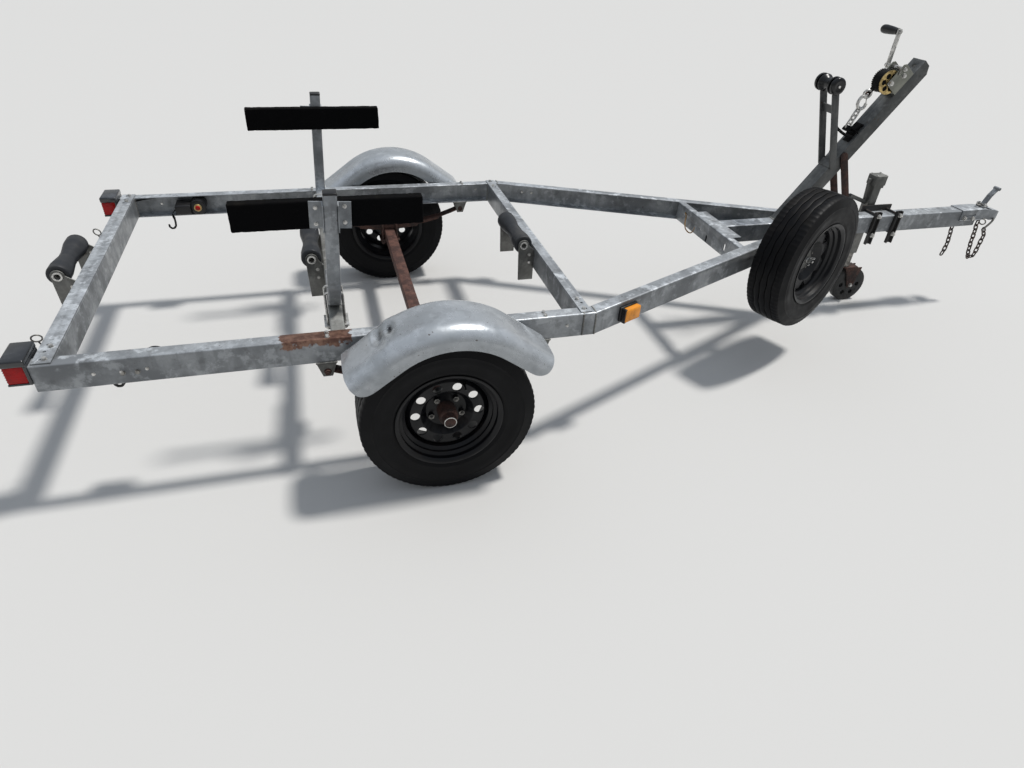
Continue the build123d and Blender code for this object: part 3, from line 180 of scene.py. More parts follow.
def finish(tree, shader, base, cloudy, smoothest, roughest):
    """Feed a base colour, and a roughness that follows a cloudy value, to the shader."""
    tree.links.new(base, shader.inputs["Base Color"])
    tree.links.new(remap(tree, cloudy, 0.3, 0.7, smoothest, roughest), shader.inputs["Roughness"])


# %% [markdown]
# ## Weathering, shared by many finishes
# Outdoors no surface ages evenly. One group gives a cloudy mask with soft and hard patches, and a second
# gives streaks that run down a face, as rain leaves them. Both are used with their own sizes in each
# material.


# %% Weathering groups
def make_group(name, inputs, outputs):
    """Start a shader group with float inputs (name: value), a Vector input and named float outputs."""
    group = bpy.data.node_groups.new(name, "ShaderNodeTree")
    group.interface.new_socket("Vector", in_out="INPUT", socket_type="NodeSocketVector")
    for socket_name, value in inputs.items():
        socket = group.interface.new_socket(socket_name, in_out="INPUT", socket_type="NodeSocketFloat")
        socket.default_value = value
    for socket_name in outputs:
        group.interface.new_socket(socket_name, in_out="OUTPUT", socket_type="NodeSocketFloat")
    return group, group.nodes.new("NodeGroupInput"), group.nodes.new("NodeGroupOutput")


def noise_mask(group, start, vector, detail, roughness):
    """Noise of the group's Scale, and the mask where it passes from the group's Low to its High."""
    noisy = add_node(group, "ShaderNodeTexNoise", {
        "Vector": vector, "Scale": start.outputs["Scale"], "Detail": detail, "Roughness": roughness,
    }).outputs["Fac"]
    return noisy, remap(group, noisy, start.outputs["Low"], start.outputs["High"])


def make_clouds():
    """Noise turned into a patchy mask, with the plain noise beside it."""
    group, start, end = make_group("clouds", {"Scale": 4.0, "Low": 0.4, "High": 0.6}, ["Mask", "Raw"])
    raw, mask = noise_mask(group, start, start.outputs["Vector"], 6.0, 0.62)
    group.links.new(mask, end.inputs["Mask"])
    group.links.new(raw, end.inputs["Raw"])
    return group


def make_streaks():
    """Noise squeezed across and stretched down, so that it runs in vertical lines."""
    group, start, end = make_group("streaks", {"Scale": 30.0, "Low": 0.5, "High": 0.75}, ["Mask"])
    stretched = add_node(group, "ShaderNodeMapping", {
        "Vector": start.outputs["Vector"], "Scale": (1.0, 1.0, 0.08),
    })
    _, mask = noise_mask(group, start, stretched.outputs["Vector"], 4.0, 0.6)
    group.links.new(mask, end.inputs["Mask"])
    return group


CLOUDS = make_clouds()
STREAKS = make_streaks()


def weather(tree, group, coords, scale, low, high):
    """Place a weathering group in a material with its own size and limits, and return its outputs."""
    inputs = {"Vector": coords, "Scale": scale, "Low": low, "High": high}
    return add_node(tree, "ShaderNodeGroup", inputs, node_tree=group).outputs


print("weathering groups:", CLOUDS.name, STREAKS.name)


# %% [markdown]
# ## Galvanised steel
# Hot-dip galvanising leaves a zinc skin that dulls to a cloudy grey, with faint crystals, pale bloom where
# water stands, darker streaks, and brown freckles where the zinc is gone. Faces that look sideways are made
# darker: that is painted shade, standing for the shade on the webs and skirts. The amounts are arguments, so
# bright top faces, shaded webs and the old winch post, whose darker zinc is painted shade as well, can share
# one recipe. A rusty box and dark scuff marks can be laid over it; at the fender's dents those marks are also
# painted shade in the creases.

# %% Tones and places of wear, with painted shade at the dents
SMUDGE_TONE = (0.10, 0.10, 0.10)
FRECKLE_TONE = (0.075, 0.05, 0.037)
# the dark tone laid round the fender's dents: rubbing marks and painted shade in their creases
DENT_SCUFF_AND_SHADE_TONE = (0.020, 0.021, 0.028)
OLD_RUST = (0.100, 0.047, 0.033)
FRESH_RUST = (0.24, 0.135, 0.095)
RUST_EDGE = 0.004
RUST_RAGGED = 0.016
ZINC_LIGHT = (0.56, 0.59, 0.615)
ZINC_DARK = (0.25, 0.265, 0.28)
WELD_RUST_LOW = (-1.515, -0.76, 0.538)
WELD_RUST_HIGH = (-1.285, -0.64, 0.60)
DENT_SHAPE = Vector((1.0, 0.42, 1.0))
DENTS = [(Vector((-1.206, -0.848, 0.620)), 0.021, 0.016), (Vector((-1.171, -0.856, 0.644)), 0.016, 0.012)]
print("the near fender has", len(DENTS), "dents")


# %% Galvanised finish
def galvanised(name, light, dark, freckles=0.68, rough=0.42, metallic=0.45, sides=0.62, wear=1.0,
               rust=None, scuffs_and_dent_shade=()):
    """A zinc finish between a light and a dark grey, mottled by its wear, its sides darkened as painted shade.

    sides sets how far painted shade darkens faces that look sideways. rust is a box (low, high) where it has
    rusted through, and the scuff marks are places, each with its reach, darkened by rubbing and by painted
    shade in a dent.
    """
    material, tree, shader, coords = new_material(name, rough, metallic)
    cloudy = weather(tree, CLOUDS, coords, 6.0, 0.38, 0.62)
    streaks = weather(tree, STREAKS, coords, 34.0, 0.46, 0.68)["Mask"]
    crystals = add_node(tree, "ShaderNodeTexVoronoi", {"Vector": coords, "Scale": 110.0}).outputs["Color"]
    bloom = weather(tree, CLOUDS, coords, 22.0, 0.50, 0.66)["Mask"]
    smudges = weather(tree, CLOUDS, coords, 19.0, 0.52, 0.66)["Mask"]
    specks = weather(tree, CLOUDS, coords, 70.0, freckles, freckles + 0.04)["Mask"]
    pale = tuple(min(1.0, value * 1.3 + 0.07) for value in light)
    side_shade_tone = tuple(value * 0.42 for value in dark)
    base = light
    for mask, tone in (
        (cloudy["Mask"], dark), (up_to(tree, crystals, 0.28), dark), (up_to(tree, streaks, 0.5 * wear), dark),
        (up_to(tree, bloom, 0.6 * wear), pale), (up_to(tree, smudges, 0.42 * wear), SMUDGE_TONE),
        # painted shade: the more a face looks sideways, the darker it is made
        (remap(tree, upward(tree), 0.05, 0.80, sides, 0.0), side_shade_tone), (specks, FRECKLE_TONE),
    ):
        base = mix_colour(tree, mask, base, tone)
    if rust:
        base = rust_patch(tree, coords, base, *rust)
    for place, reach in scuffs_and_dent_shade:
        base = scuff_and_shade(tree, coords, base, place, reach)
    finish(tree, shader, base, cloudy["Raw"], rough - 0.12, rough + 0.18)
    grainy(tree, shader, coords, 160.0, 3.0, 0.25, 0.0008)
    return material


# %% Rust patches, and scuff marks with painted shade
def rust_patch(tree, coords, base, low, high):
    """Cover base with ragged rust inside a box given by two corners."""
    place = add_node(tree, "ShaderNodeSeparateXYZ", {"Vector": coords}).outputs
    ragged = weather(tree, CLOUDS, coords, 34.0, 0.25, 0.75)["Raw"]
    offset = remap(tree, ragged, 0.25, 0.75, -RUST_RAGGED, RUST_RAGGED)
    inside = 1.0
    for axis, start, end in zip("XYZ", low, high):
        moved = worked(tree, "ADD", place[axis], offset)
        rise = remap(tree, moved, start - RUST_EDGE, start + RUST_EDGE)
        fall = remap(tree, moved, end - RUST_EDGE, end + RUST_EDGE, 1.0, 0.0)
        inside = worked(tree, "MULTIPLY", inside, worked(tree, "MULTIPLY", rise, fall))
    tone = weather(tree, CLOUDS, coords, 40.0, 0.35, 0.65)["Mask"]
    return mix_colour(tree, inside, base, mix_colour(tree, tone, OLD_RUST, FRESH_RUST))


def scuff_and_shade(tree, coords, base, place, reach):
    """Darken base round a place in the shape of a dent: rubbing marks, and painted shade in the dent's creases.
    """
    away = add_node(tree, "ShaderNodeVectorMath", {0: coords, 1: place}, operation="SUBTRACT")
    shaped = add_node(tree, "ShaderNodeVectorMath", {
        0: away.outputs["Vector"], 1: DENT_SHAPE,
    }, operation="MULTIPLY")
    gap = add_node(tree, "ShaderNodeVectorMath", {0: shaped.outputs["Vector"]}, operation="LENGTH")
    near = remap(tree, gap.outputs["Value"], reach * 0.3, reach * 0.95, 1.0, 0.0)
    rubbing_and_shade_mask = weather(tree, CLOUDS, coords, 120.0, 0.33, 0.45)["Mask"]
    return mix_colour(tree, worked(tree, "MULTIPLY", near, rubbing_and_shade_mask), base, DENT_SCUFF_AND_SHADE_TONE)


# %% Zinc finishes
galvanised_steel = galvanised("galvanised_steel", ZINC_LIGHT, ZINC_DARK)
galvanised_patched = galvanised(
    "galvanised_patched", ZINC_LIGHT, ZINC_DARK, rust=(WELD_RUST_LOW, WELD_RUST_HIGH),
)
galvanised_dull = galvanised("galvanised_dull", (0.34, 0.34, 0.32), (0.16, 0.16, 0.15), 0.64, 0.5, wear=0.6)
# painted shade: the winch post and bow stop get this darker copy of the zinc, for the shade they stand in
shaded_mast_zinc = galvanised("shaded_mast_zinc", (0.20, 0.205, 0.20), (0.095, 0.10, 0.10), 0.64, 0.45, wear=0.5)
plate_steel = galvanised(
    "plate_steel", (0.33, 0.335, 0.285), (0.24, 0.245, 0.21), 0.70, 0.4, 0.4, sides=0.3, wear=0.15,
)
# the fender's skirts get painted shade through sides, and its dents painted shade through the dark marks
galvanised_fender = galvanised(
    "galvanised_fender", (0.58, 0.61, 0.64), (0.44, 0.47, 0.495), 0.665, 0.27, 0.6, sides=0.55, wear=0.35,
    scuffs_and_dent_shade=[(place, reach) for place, reach, _ in DENTS],
)
print("zinc finishes with", len(galvanised_steel.node_tree.nodes), "nodes each")

# %% [markdown]
# ## Rusty steel
# The axle, the springs, the braces and the jack's fork have lost their coating. Rust is never one brown: dark
# patches where it is old and damp, orange where it is fresh, and a dry powdery surface with no shine.


# %% Rusty finish
def rusty(name, dark, fresh, scale=22.0, rough=0.85):
    """Old rust between a dark and a fresh tone."""
    material, tree, shader, coords = new_material(name, rough)
    patches = weather(tree, CLOUDS, coords, scale, 0.38, 0.64)["Mask"]
    fine = weather(tree, CLOUDS, coords, scale * 6, 0.42, 0.7)
    base = mix_colour(tree, patches, dark, fresh)
    base = mix_colour(tree, up_to(tree, fine["Mask"], 0.6), base, dark)
    finish(tree, shader, base, fine["Raw"], rough - 0.15, rough + 0.1)
    bump(tree, shader, fine["Raw"], 0.6, 0.0012)
    return material


rusty_steel = rusty("rusty_steel", (0.050, 0.023, 0.018), (0.125, 0.058, 0.043))
rusty_dark = rusty("rusty_dark", (0.022, 0.012, 0.010), (0.070, 0.030, 0.021))
chain_rust = rusty("chain_rust", (0.020, 0.013, 0.011), (0.085, 0.050, 0.036), 60.0, 0.6)
print("rusty finishes:", rusty_steel.name, rusty_dark.name, chain_rust.name)

# %% [markdown]
# ## Rubber, carpet, webbing and plastic
# Black is hard to light: at pure black a shape has no form. Each of these keeps a little colour of its own,
# with brown dust on upward faces, and gets its character from roughness and bump. The list below gives for
# each its tone, the tone and amount of its dust, its roughness, the size and depth of its grain, and its
# shine.


# %% Dark finishes
def dark_finish(name, tone, dust_tone, dust, rough, grain_scale, grain_strength, shine=0.3, coat=0.0):
    """A dark material with cloudy dust, which settles on faces that look up, and a weak mirror reflection."""
    material, tree, shader, coords = new_material(name, rough)
    cloudy = weather(tree, CLOUDS, coords, 14.0, 0.35, 0.75)
    settled = worked(tree, "MULTIPLY", cloudy["Mask"], remap(tree, upward(tree), -0.2, 0.95, 0.25, 1.0))
    base = mix_colour(tree, up_to(tree, settled, dust), tone, dust_tone)
    finish(tree, shader, base, cloudy["Raw"], rough - 0.08, rough + 0.08)
    shader.inputs["Coat Weight"].default_value = coat
    shader.inputs["Specular IOR Level"].default_value = shine
    grainy(tree, shader, coords, grain_scale, 4.0, grain_strength, 0.0006)
    return material


DARK_FINISHES = {
    "tyre_rubber": ((0.0032, 0.0034, 0.0042), (0.014, 0.012, 0.010), 0.5, 0.52, 220.0, 0.3, 0.14),
    "roller_rubber": ((0.022, 0.024, 0.028), (0.075, 0.073, 0.070), 0.6, 0.5, 150.0, 0.35, 0.35),
    "bow_rubber": ((0.0035, 0.0038, 0.0048), (0.014, 0.014, 0.015), 0.5, 0.24, 150.0, 0.08, 0.45),
    "carpet": ((0.0032, 0.0032, 0.0036), (0.018, 0.016, 0.013), 0.4, 0.95, 900.0, 1.0, 0.06),
    "webbing": ((0.0050, 0.0050, 0.0056), (0.030, 0.028, 0.025), 0.5, 0.8, 700.0, 0.8, 0.15),
    "black_paint": ((0.0034, 0.0038, 0.0052), (0.020, 0.015, 0.012), 0.45, 0.36, 120.0, 0.1, 0.28),
    "charcoal_paint": ((0.0075, 0.0080, 0.0095), (0.040, 0.036, 0.032), 0.5, 0.42, 120.0, 0.1, 0.35),
    "black_plastic": ((0.0055, 0.0055, 0.0065), (0.040, 0.039, 0.037), 0.4, 0.34, 260.0, 0.15, 0.45),
    "charcoal_plastic": ((0.018, 0.018, 0.018), (0.075, 0.068, 0.060), 0.7, 0.5, 200.0, 0.2, 0.4),
    "lamp_black": ((0.009, 0.010, 0.012), (0.075, 0.080, 0.090), 0.6, 0.24, 260.0, 0.06, 0.6, 0.5),
    "mount_steel": ((0.020, 0.020, 0.020), (0.070, 0.045, 0.033), 0.8, 0.6, 140.0, 0.3, 0.4),
    "jack_tread": ((0.055, 0.052, 0.048), (0.20, 0.17, 0.14), 0.6, 0.75, 200.0, 0.3),
    "tan_wire": ((0.30, 0.17, 0.055), (0.36, 0.26, 0.15), 0.5, 0.5, 300.0, 0.2),
}
(
    tyre_rubber, roller_rubber, bow_rubber, carpet, webbing, black_paint, charcoal_paint, black_plastic,
    charcoal_plastic, lamp_black, mount_steel, jack_tread, tan_wire,
) = [dark_finish(name, *values) for name, values in DARK_FINISHES.items()]
print("made", len(DARK_FINISHES), "dark finishes")

# %% [markdown]
# ## Plated metal and lenses
# Nuts, pins and the winch drum are zinc plated, some with a yellow passivation. The lamps have tinted lenses:
# a deep colour under a glossy coat reads as moulded acrylic without needing the light inside.


# %% Bright finishes
def plated(name, tone, rough=0.35, metallic=0.8):
    """Plated steel, slightly cloudy."""
    material, tree, shader, coords = new_material(name, rough, metallic)
    cloudy = weather(tree, CLOUDS, coords, 60.0, 0.35, 0.7)
    worn = tuple(value * 0.45 for value in tone)
    base = mix_colour(tree, cloudy["Mask"], tone, worn)
    finish(tree, shader, base, cloudy["Raw"], rough - 0.1, rough + 0.2)
    return material


def lens(name, tone):
    """Moulded coloured acrylic with fine prisms under its face."""
    material, tree, shader, coords = new_material(name, 0.16)
    cloudy = weather(tree, CLOUDS, coords, 30.0, 0.35, 0.8)
    deep = tuple(value * 0.55 for value in tone)
    tree.links.new(mix_colour(tree, cloudy["Mask"], tone, deep), shader.inputs["Base Color"])
    shader.inputs["Coat Weight"].default_value = 0.12
    shader.inputs["Specular IOR Level"].default_value = 0.2
    prisms = add_node(tree, "ShaderNodeTexChecker", {"Vector": coords, "Scale": 240.0})
    bump(tree, shader, prisms.outputs["Fac"], 0.2, 0.0005)
    return material


zinc_plate = plated("zinc_plate", (0.74, 0.73, 0.70), 0.3, 0.7)
yellow_zinc = plated("yellow_zinc", (0.62, 0.46, 0.20))
dark_zinc = plated("dark_zinc", (0.30, 0.29, 0.27), 0.5)
red_lens = lens("red_lens", (0.40, 0.003, 0.004))
amber_lens = lens("amber_lens", (0.80, 0.30, 0.03))
print("bright finishes:", zinc_plate.name, yellow_zinc.name, dark_zinc.name, red_lens.name, amber_lens.name)

# %% [markdown]
# ## Floor and light
# The floor is a plain pale sheet. A soft sun from above and a little behind lights the top faces, and a pale
# sky fills the sides, so the rails show bright tops over grey webs as they do outdoors; the zinc finish adds
# painted shade to the webs as well.

# %% Floor, world and lamps
FLOOR_HALF = 40.0
FLOOR_CORNERS = ((-1, -1), (1, -1), (1, 1), (-1, 1))
floor_mesh = bpy.data.meshes.new("floor")
floor_mesh.from_pydata([(x * FLOOR_HALF, y * FLOOR_HALF, 0) for x, y in FLOOR_CORNERS], [], [(0, 1, 2, 3)])
floor = new_object("floor", floor_mesh)
floor_paint, _, floor_shader, _ = new_material("floor_paint", 0.9)
floor_shader.inputs["Base Color"].default_value = (0.60, 0.595, 0.58, 1)
floor_mesh.materials.append(floor_paint)

world = bpy.data.worlds.new("sky")
bpy.context.scene.world = world
world.use_nodes = True
sky = world.node_tree
sky_out = sky.nodes["Background"]
direction = add_node(sky, "ShaderNodeTexCoord").outputs["Generated"]
height = add_node(sky, "ShaderNodeSeparateXYZ", {"Vector": direction}).outputs["Z"]
sky_tone = mix_colour(sky, remap(sky, height, -0.1, 0.8), (0.62, 0.62, 0.60), (0.80, 0.88, 1.0))
sky.links.new(sky_tone, sky_out.inputs["Color"])
sky_out.inputs["Strength"].default_value = 0.50

SUN_FROM = Vector((0.40, 0.02, 0.916))
sun_data = bpy.data.lights.new("sun", "SUN")
sun_data.energy = 2.9
sun_data.angle = math.radians(7)
sun_data.color = (1.0, 0.975, 0.94)
sun = new_object("sun", sun_data)
sun.rotation_euler = SUN_FROM.to_track_quat("Z", "Y").to_euler()
bpy.context.scene.view_settings.view_transform = "Standard"
print("a floor", 2 * FLOOR_HALF, "m wide under one sun")

# %% [markdown]
# ## Dressing the frame's own pieces
# A CAD mesh has perfectly sharp edges, and nothing real has. Each rigid node is copied, its loose triangles
# are merged into a skin, flat areas are dissolved to single faces, and a narrow bevel rounds the edges so
# that they catch the light. The copy then stands for the node.


# %% From an edited mesh to a finished one
def shade_by_angle(mesh, degrees):
    """Smooth shading with sharp creases above an angle."""
    mesh.shade_smooth()
    mesh.set_sharp_from_angle(angle=math.radians(degrees))


def mesh_from(edit, name, sharp=None):
    """Turn a bmesh into a mesh, free it and, where an angle is given, shade the mesh by it."""
    mesh = bpy.data.meshes.new(name)
    edit.to_mesh(mesh)
    edit.free()
    if sharp:
        shade_by_angle(mesh, sharp)
    return mesh


def finished(obj, sharp=40):
    """Apply an object's modifiers into a new mesh and remove the object."""
    bpy.context.view_layer.update()
    mesh = bpy.data.meshes.new_from_object(obj.evaluated_get(bpy.context.evaluated_depsgraph_get()))
    mesh.name = obj.name + "_made"
    source = obj.data
    bpy.data.objects.remove(obj)
    bpy.data.meshes.remove(source)
    shade_by_angle(mesh, sharp)
    return mesh


# %% Putting a piece in its place
def put(name, mesh, material, body, replaces=()):
    """Make an object of a mesh at the origin, give it its finish, and let it ride on a body."""
    obj = new_object(name, mesh)
    if material is not None:
        painted(mesh, material)
    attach(obj, body)
    if replaces:
        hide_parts(*replaces)
    return obj


def painted(mesh, material):
    """Give a mesh one material and return it."""
    mesh.materials.clear()
    mesh.materials.append(material)
    return mesh


def body_of(node_name):
    """The body that carries a node."""
    for body, members in frame["record"]["behaviour"]["bodies"].items():
        if node_name in members:
            return body
    return "frame"


# %% Dressed copies
MERGE_REACH = 0.00002
FLAT_WITHIN = math.radians(1.5)
EDGE_ROUND = 0.0012


def dress(node_name, material):
    """Copy a node, merge and bevel it, and let the copy stand for it."""
    edit = bmesh.new()
    edit.from_mesh(nodes[node_name].data)
    bmesh.ops.remove_doubles(edit, verts=edit.verts, dist=MERGE_REACH)
    bmesh.ops.dissolve_limit(edit, angle_limit=FLAT_WITHIN, verts=edit.verts, edges=edit.edges)
    name = "dressed_" + node_name
    obj = new_object(name, mesh_from(edit, name))
    rounding = obj.modifiers.new("rounding", "BEVEL")
    rounding.width = EDGE_ROUND
    rounding.segments = 2
    rounding.limit_method = "ANGLE"
    rounding.angle_limit = math.radians(40)
    return put(name, finished(obj, 32), material, body_of(node_name), [node_name])


FINISHES = {
    galvanised_steel: (
        "side_rail_left", "draw_rail_right", "draw_rail_left", "rear_crossmember", "mid_crossmember",
        "front_crossmember", "tongue", "coupler", "guide_post_right", "guide_post_left",
    ),
    galvanised_patched: ("side_rail_right",),
    galvanised_dull: (
        "guide_crossmember", "keel_bracket_rear", "keel_bracket_middle", "keel_bracket_front",
        "spring_hangers", "fender_brackets", "spare_carrier", "jack_body",
    ),
    shaded_mast_zinc: ("winch_mast", "bow_stop"),
    plate_steel: ("winch_frame",),
    rusty_steel: ("axle",),
    rusty_dark: ("mast_braces", "leaf_spring_right", "leaf_spring_left", "jack_fork"),
    black_paint: ("wheel_right", "wheel_left"),
    charcoal_paint: ("spare_wheel",),
    mount_steel: ("jack_mount",),
    dark_zinc: ("jack_leg",),
    charcoal_plastic: ("jack_wheel",),
}
dressed = {}
for finish, node_names in FINISHES.items():
    for node_name in node_names:
        dressed[node_name] = dress(node_name, finish).data
print("dressed", len(dressed), "nodes")

# %% [markdown]
# ## Places taken from the frame
# The axle, the rails' top and the tongue are read from the imported nodes, the mast's foot and slope are
# given, and every finer piece below is placed from them: a distance ahead of the axle, to the left and above
# the ground, in millimetres because a trailer is built in millimetres.

# %% Places
MM = 0.001
tyre_low, tyre_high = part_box("tyre_right")
AXLE_X = (tyre_low.x + tyre_high.x) / 2
AXLE_Z = (tyre_low.z + tyre_high.z) / 2
WHEEL_Y = abs(tyre_low.y + tyre_high.y) / 2
rail_low, rail_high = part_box("side_rail_right")
RAIL_TOP = rail_high.z / MM
RAIL_BOTTOM = rail_low.z / MM
RAIL_FACE = -rail_low.y / MM
RAIL_WALL = 5
tongue_low, tongue_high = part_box("tongue")
TONGUE_TOP = tongue_high.z / MM
TONGUE_BOTTOM = tongue_low.z / MM
TONGUE_HALF = tongue_high.y / MM
DRAW_ANGLE = math.radians(24)
MAST_FOOT = 1862
MAST_ANGLE = math.radians(54.5)
SIDES = (("right", -1), ("left", 1))


def spot(ahead, left, height):
    """A place from millimetres ahead of the axle, to the left and above the ground."""
    return Vector((AXLE_X + ahead * MM, left * MM, height * MM))


def on_mast(along, out, left=0.0):
    """A place from millimetres up the mast, off its rear face and to the left."""
    return spot(
        MAST_FOOT + along * math.cos(MAST_ANGLE) - out * math.sin(MAST_ANGLE), left,
        TONGUE_TOP + along * math.sin(MAST_ANGLE) + out * math.cos(MAST_ANGLE),
    )


def stand(origin, z_dir, x_hint=(1, 0, 0)):
    """A placing matrix with local Z along a direction and local X near a hint."""
    z_axis = Vector(z_dir).normalized()
    x_axis = Vector(x_hint)
    x_axis = (x_axis - x_axis.dot(z_axis) * z_axis).normalized()
    turned_to = Matrix((x_axis, z_axis.cross(x_axis), z_axis)).transposed().to_4x4()
    return Matrix.Translation(origin) @ turned_to


print("axle at", round(AXLE_X, 3), "wheels at", round(WHEEL_Y, 3), "rail top", round(RAIL_TOP))

# %% [markdown]
# ## Turned pieces
# Tyres, rollers, drums and caps are all turned: a half outline goes round an axis. An outline with soft
# corners keeps such a piece from looking machined out of a block, so one helper rounds the corners of any
# outline.


# %% Helpers for outlines and faces
def soften(points, reach, steps=3):
    """Round the corners of a closed outline, starting each bend a reach from its corner or at mid edge."""
    made = []
    for index, corner in enumerate(points):
        here = Vector(corner)
        before = Vector(points[index - 1]) - here
        after = Vector(points[(index + 1) % len(points)]) - here
        start = here + before.normalized() * min(reach, before.length * 0.48)
        end = here + after.normalized() * min(reach, after.length * 0.48)
        for step in range(steps + 1):
            share = step / steps
            made.append(tuple(start.lerp(here, share).lerp(here.lerp(end, share), share)))
    return made


def mesh_of(name, points, faces, sharp=None, place=None, merge=1e-6):
    """Make a mesh of points and faces, merge its doubles and turn its faces outwards."""
    edit = bmesh.new()
    corners = [edit.verts.new(point) for point in points]
    for face in faces:
        edit.faces.new([corners[index] for index in face])
    bmesh.ops.remove_doubles(edit, verts=edit.verts, dist=merge)
    bmesh.ops.dissolve_degenerate(edit, edges=edit.edges, dist=merge)
    bmesh.ops.recalc_face_normals(edit, faces=edit.faces)
    if place is not None:
        edit.transform(place)
    return mesh_from(edit, name, sharp)


def ring_faces(rings, around, closed_rings=True):
    """Quads between neighbouring rings of points, each with the same number of points."""
    faces = []
    for ring in range(rings if closed_rings else rings - 1):
        first = ring * around
        second = (ring + 1) % rings * around
        for index in range(around):
            other = (index + 1) % around
            faces.append((first + index, first + other, second + other, second + index))
    return faces


square = [(0, 0), (10, 0), (10, 10), (0, 10)]
print("a square with soft corners has", len(soften(square, 2)), "points")

# %% Turning and joining
def around(radius, steps, along=0.0, start=0.0):
    """Points in millimetres round local Z, at a height along it and from a starting angle."""
    turns = [start + 2 * math.pi * step / steps for step in range(steps)]
    return [Vector((radius * math.cos(turn), radius * math.sin(turn), along)) * MM for turn in turns]


def turned(outline, place, material, segments=48):
    """Turn a closed outline of (along, radius) millimetres about local Z of a placing matrix."""
    points = [point for along, radius in outline for point in around(radius, segments, along)]
    return painted(mesh_of("turned", points, ring_faces(len(outline), segments), 32, place), material)


def joined(name, meshes):
    """Join meshes into one and drop the loose ones. Their materials stay, in order."""
    edit = bmesh.new()
    materials = []
    for mesh in meshes:
        start = len(edit.faces)
        edit.from_mesh(mesh)
        edit.faces.ensure_lookup_table()
        for face in edit.faces[start:]:
            face.material_index += len(materials)
        materials.extend(mesh.materials if mesh.materials else [None])
    whole = mesh_from(edit, name)
    for material in materials:
        whole.materials.append(material)
    for mesh in meshes:
        bpy.data.meshes.remove(mesh)
    return whole


def put_parts(name, parts, body, replaces=()):
    """Join painted parts into one piece and put it on its body."""
    return put(name, joined(name, parts), None, body, replaces)


def paint_where(mesh, material, test):
    """Give a further material to the faces whose corners all pass a test."""
    mesh.materials.append(material)
    slot_index = len(mesh.materials) - 1
    for face in mesh.polygons:
        if all(test(mesh.vertices[index].co) for index in face.vertices):
            face.material_index = slot_index


# %% [markdown]
# ## Tyres
# A road tyre is a ring with bulging walls and a nearly flat tread, cut by four grooves that run round it and
# by short slots across the shoulders. The section is turned in 240 steps, and each step may move the groove's
# edges sideways, which makes the zigzag of the spare, or lower the shoulder, which makes the slots.

# %% Tyres
TREAD_STEPS = 240
GROOVE_DEPTH = 6.0
GROOVES_AT = (-0.47, -0.16, 0.16, 0.47)
GROOVE_LIP = 1.5
ZIGZAG_STEPS = 6
SLOT_EVERY = 3
SHOULDER_DROP = 6
BEAD_RADIUS = 179
BEAD_HALF = 76


def wall_outline(outer, half):
    """The tyre's right wall from the bead to the shoulder, as (along, radius), with its moulded rings."""
    bulge = BEAD_RADIUS + (outer - BEAD_RADIUS) * 0.5
    return [
        (BEAD_HALF - 4, BEAD_RADIUS), (BEAD_HALF + 2, BEAD_RADIUS + 6), (BEAD_HALF + 6, BEAD_RADIUS + 14),
        (half - 7, BEAD_RADIUS + 24), (half - 6, BEAD_RADIUS + 26), (half - 6.5, BEAD_RADIUS + 29),
        (half - 2, bulge - 8), (half - 0.6, bulge), (half - 1, bulge + 12), (half - 2.4, bulge + 20),
        (half - 1.4, bulge + 22), (half - 3.4, bulge + 27), (half - 7, outer - 24), (half - 10, outer - 16),
    ]


def tread_section(outer, half, groove, sway, slot):
    """One section across the tyre from bead to bead: its walls, its shoulders and its grooves."""
    wall = wall_outline(outer, half)
    shoulder = half - 12
    low = outer - SHOULDER_DROP - slot
    high = outer - 2.2 - slot
    section = [(-along, radius) for along, radius in wall] + [(-shoulder, low), (-shoulder + 6, high)]
    for number, share in enumerate(GROOVES_AT):
        middle = half * share
        centre = middle + sway * (1 if number % 2 else -1)
        crown = outer - 1.6 * (middle / half) ** 2 * 4
        near = crown - (slot if number == 0 else 0.0)
        far = crown - (slot if number == len(GROOVES_AT) - 1 else 0.0)
        bottom = outer - GROOVE_DEPTH
        section += [
            (centre - groove / 2 - GROOVE_LIP, near), (centre - groove / 2, near - 0.8),
            (centre - groove / 3, bottom), (centre + groove / 3, bottom),
            (centre + groove / 2, far - 0.8), (centre + groove / 2 + GROOVE_LIP, far),
        ]
    return section + [(shoulder - 6, high), (shoulder, low)] + wall[::-1]


# %% Turning a tyre
def make_tyre(name, place, outer, width, groove, zigzag, slot):
    """Turn a tyre about local Z of a placing matrix, with its grooves straight or zigzag."""
    points = []
    for step in range(TREAD_STEPS):
        phase = step % (2 * ZIGZAG_STEPS) / ZIGZAG_STEPS
        sway = zigzag * (abs(phase - 1) * 2 - 1)
        section = tread_section(outer, width / 2, groove, sway, 0.0 if step % SLOT_EVERY else slot)
        angle = 2 * math.pi * step / TREAD_STEPS
        points += [point for along, radius in section for point in around(radius, 1, along, angle)]
    return mesh_of(name, points, ring_faces(TREAD_STEPS, len(points) // TREAD_STEPS), 38, place)


def wheel_place(side):
    """The placing matrix of a road wheel: local Z points away from the trailer."""
    return stand((AXLE_X, side * WHEEL_Y, AXLE_Z), (0, side, 0))


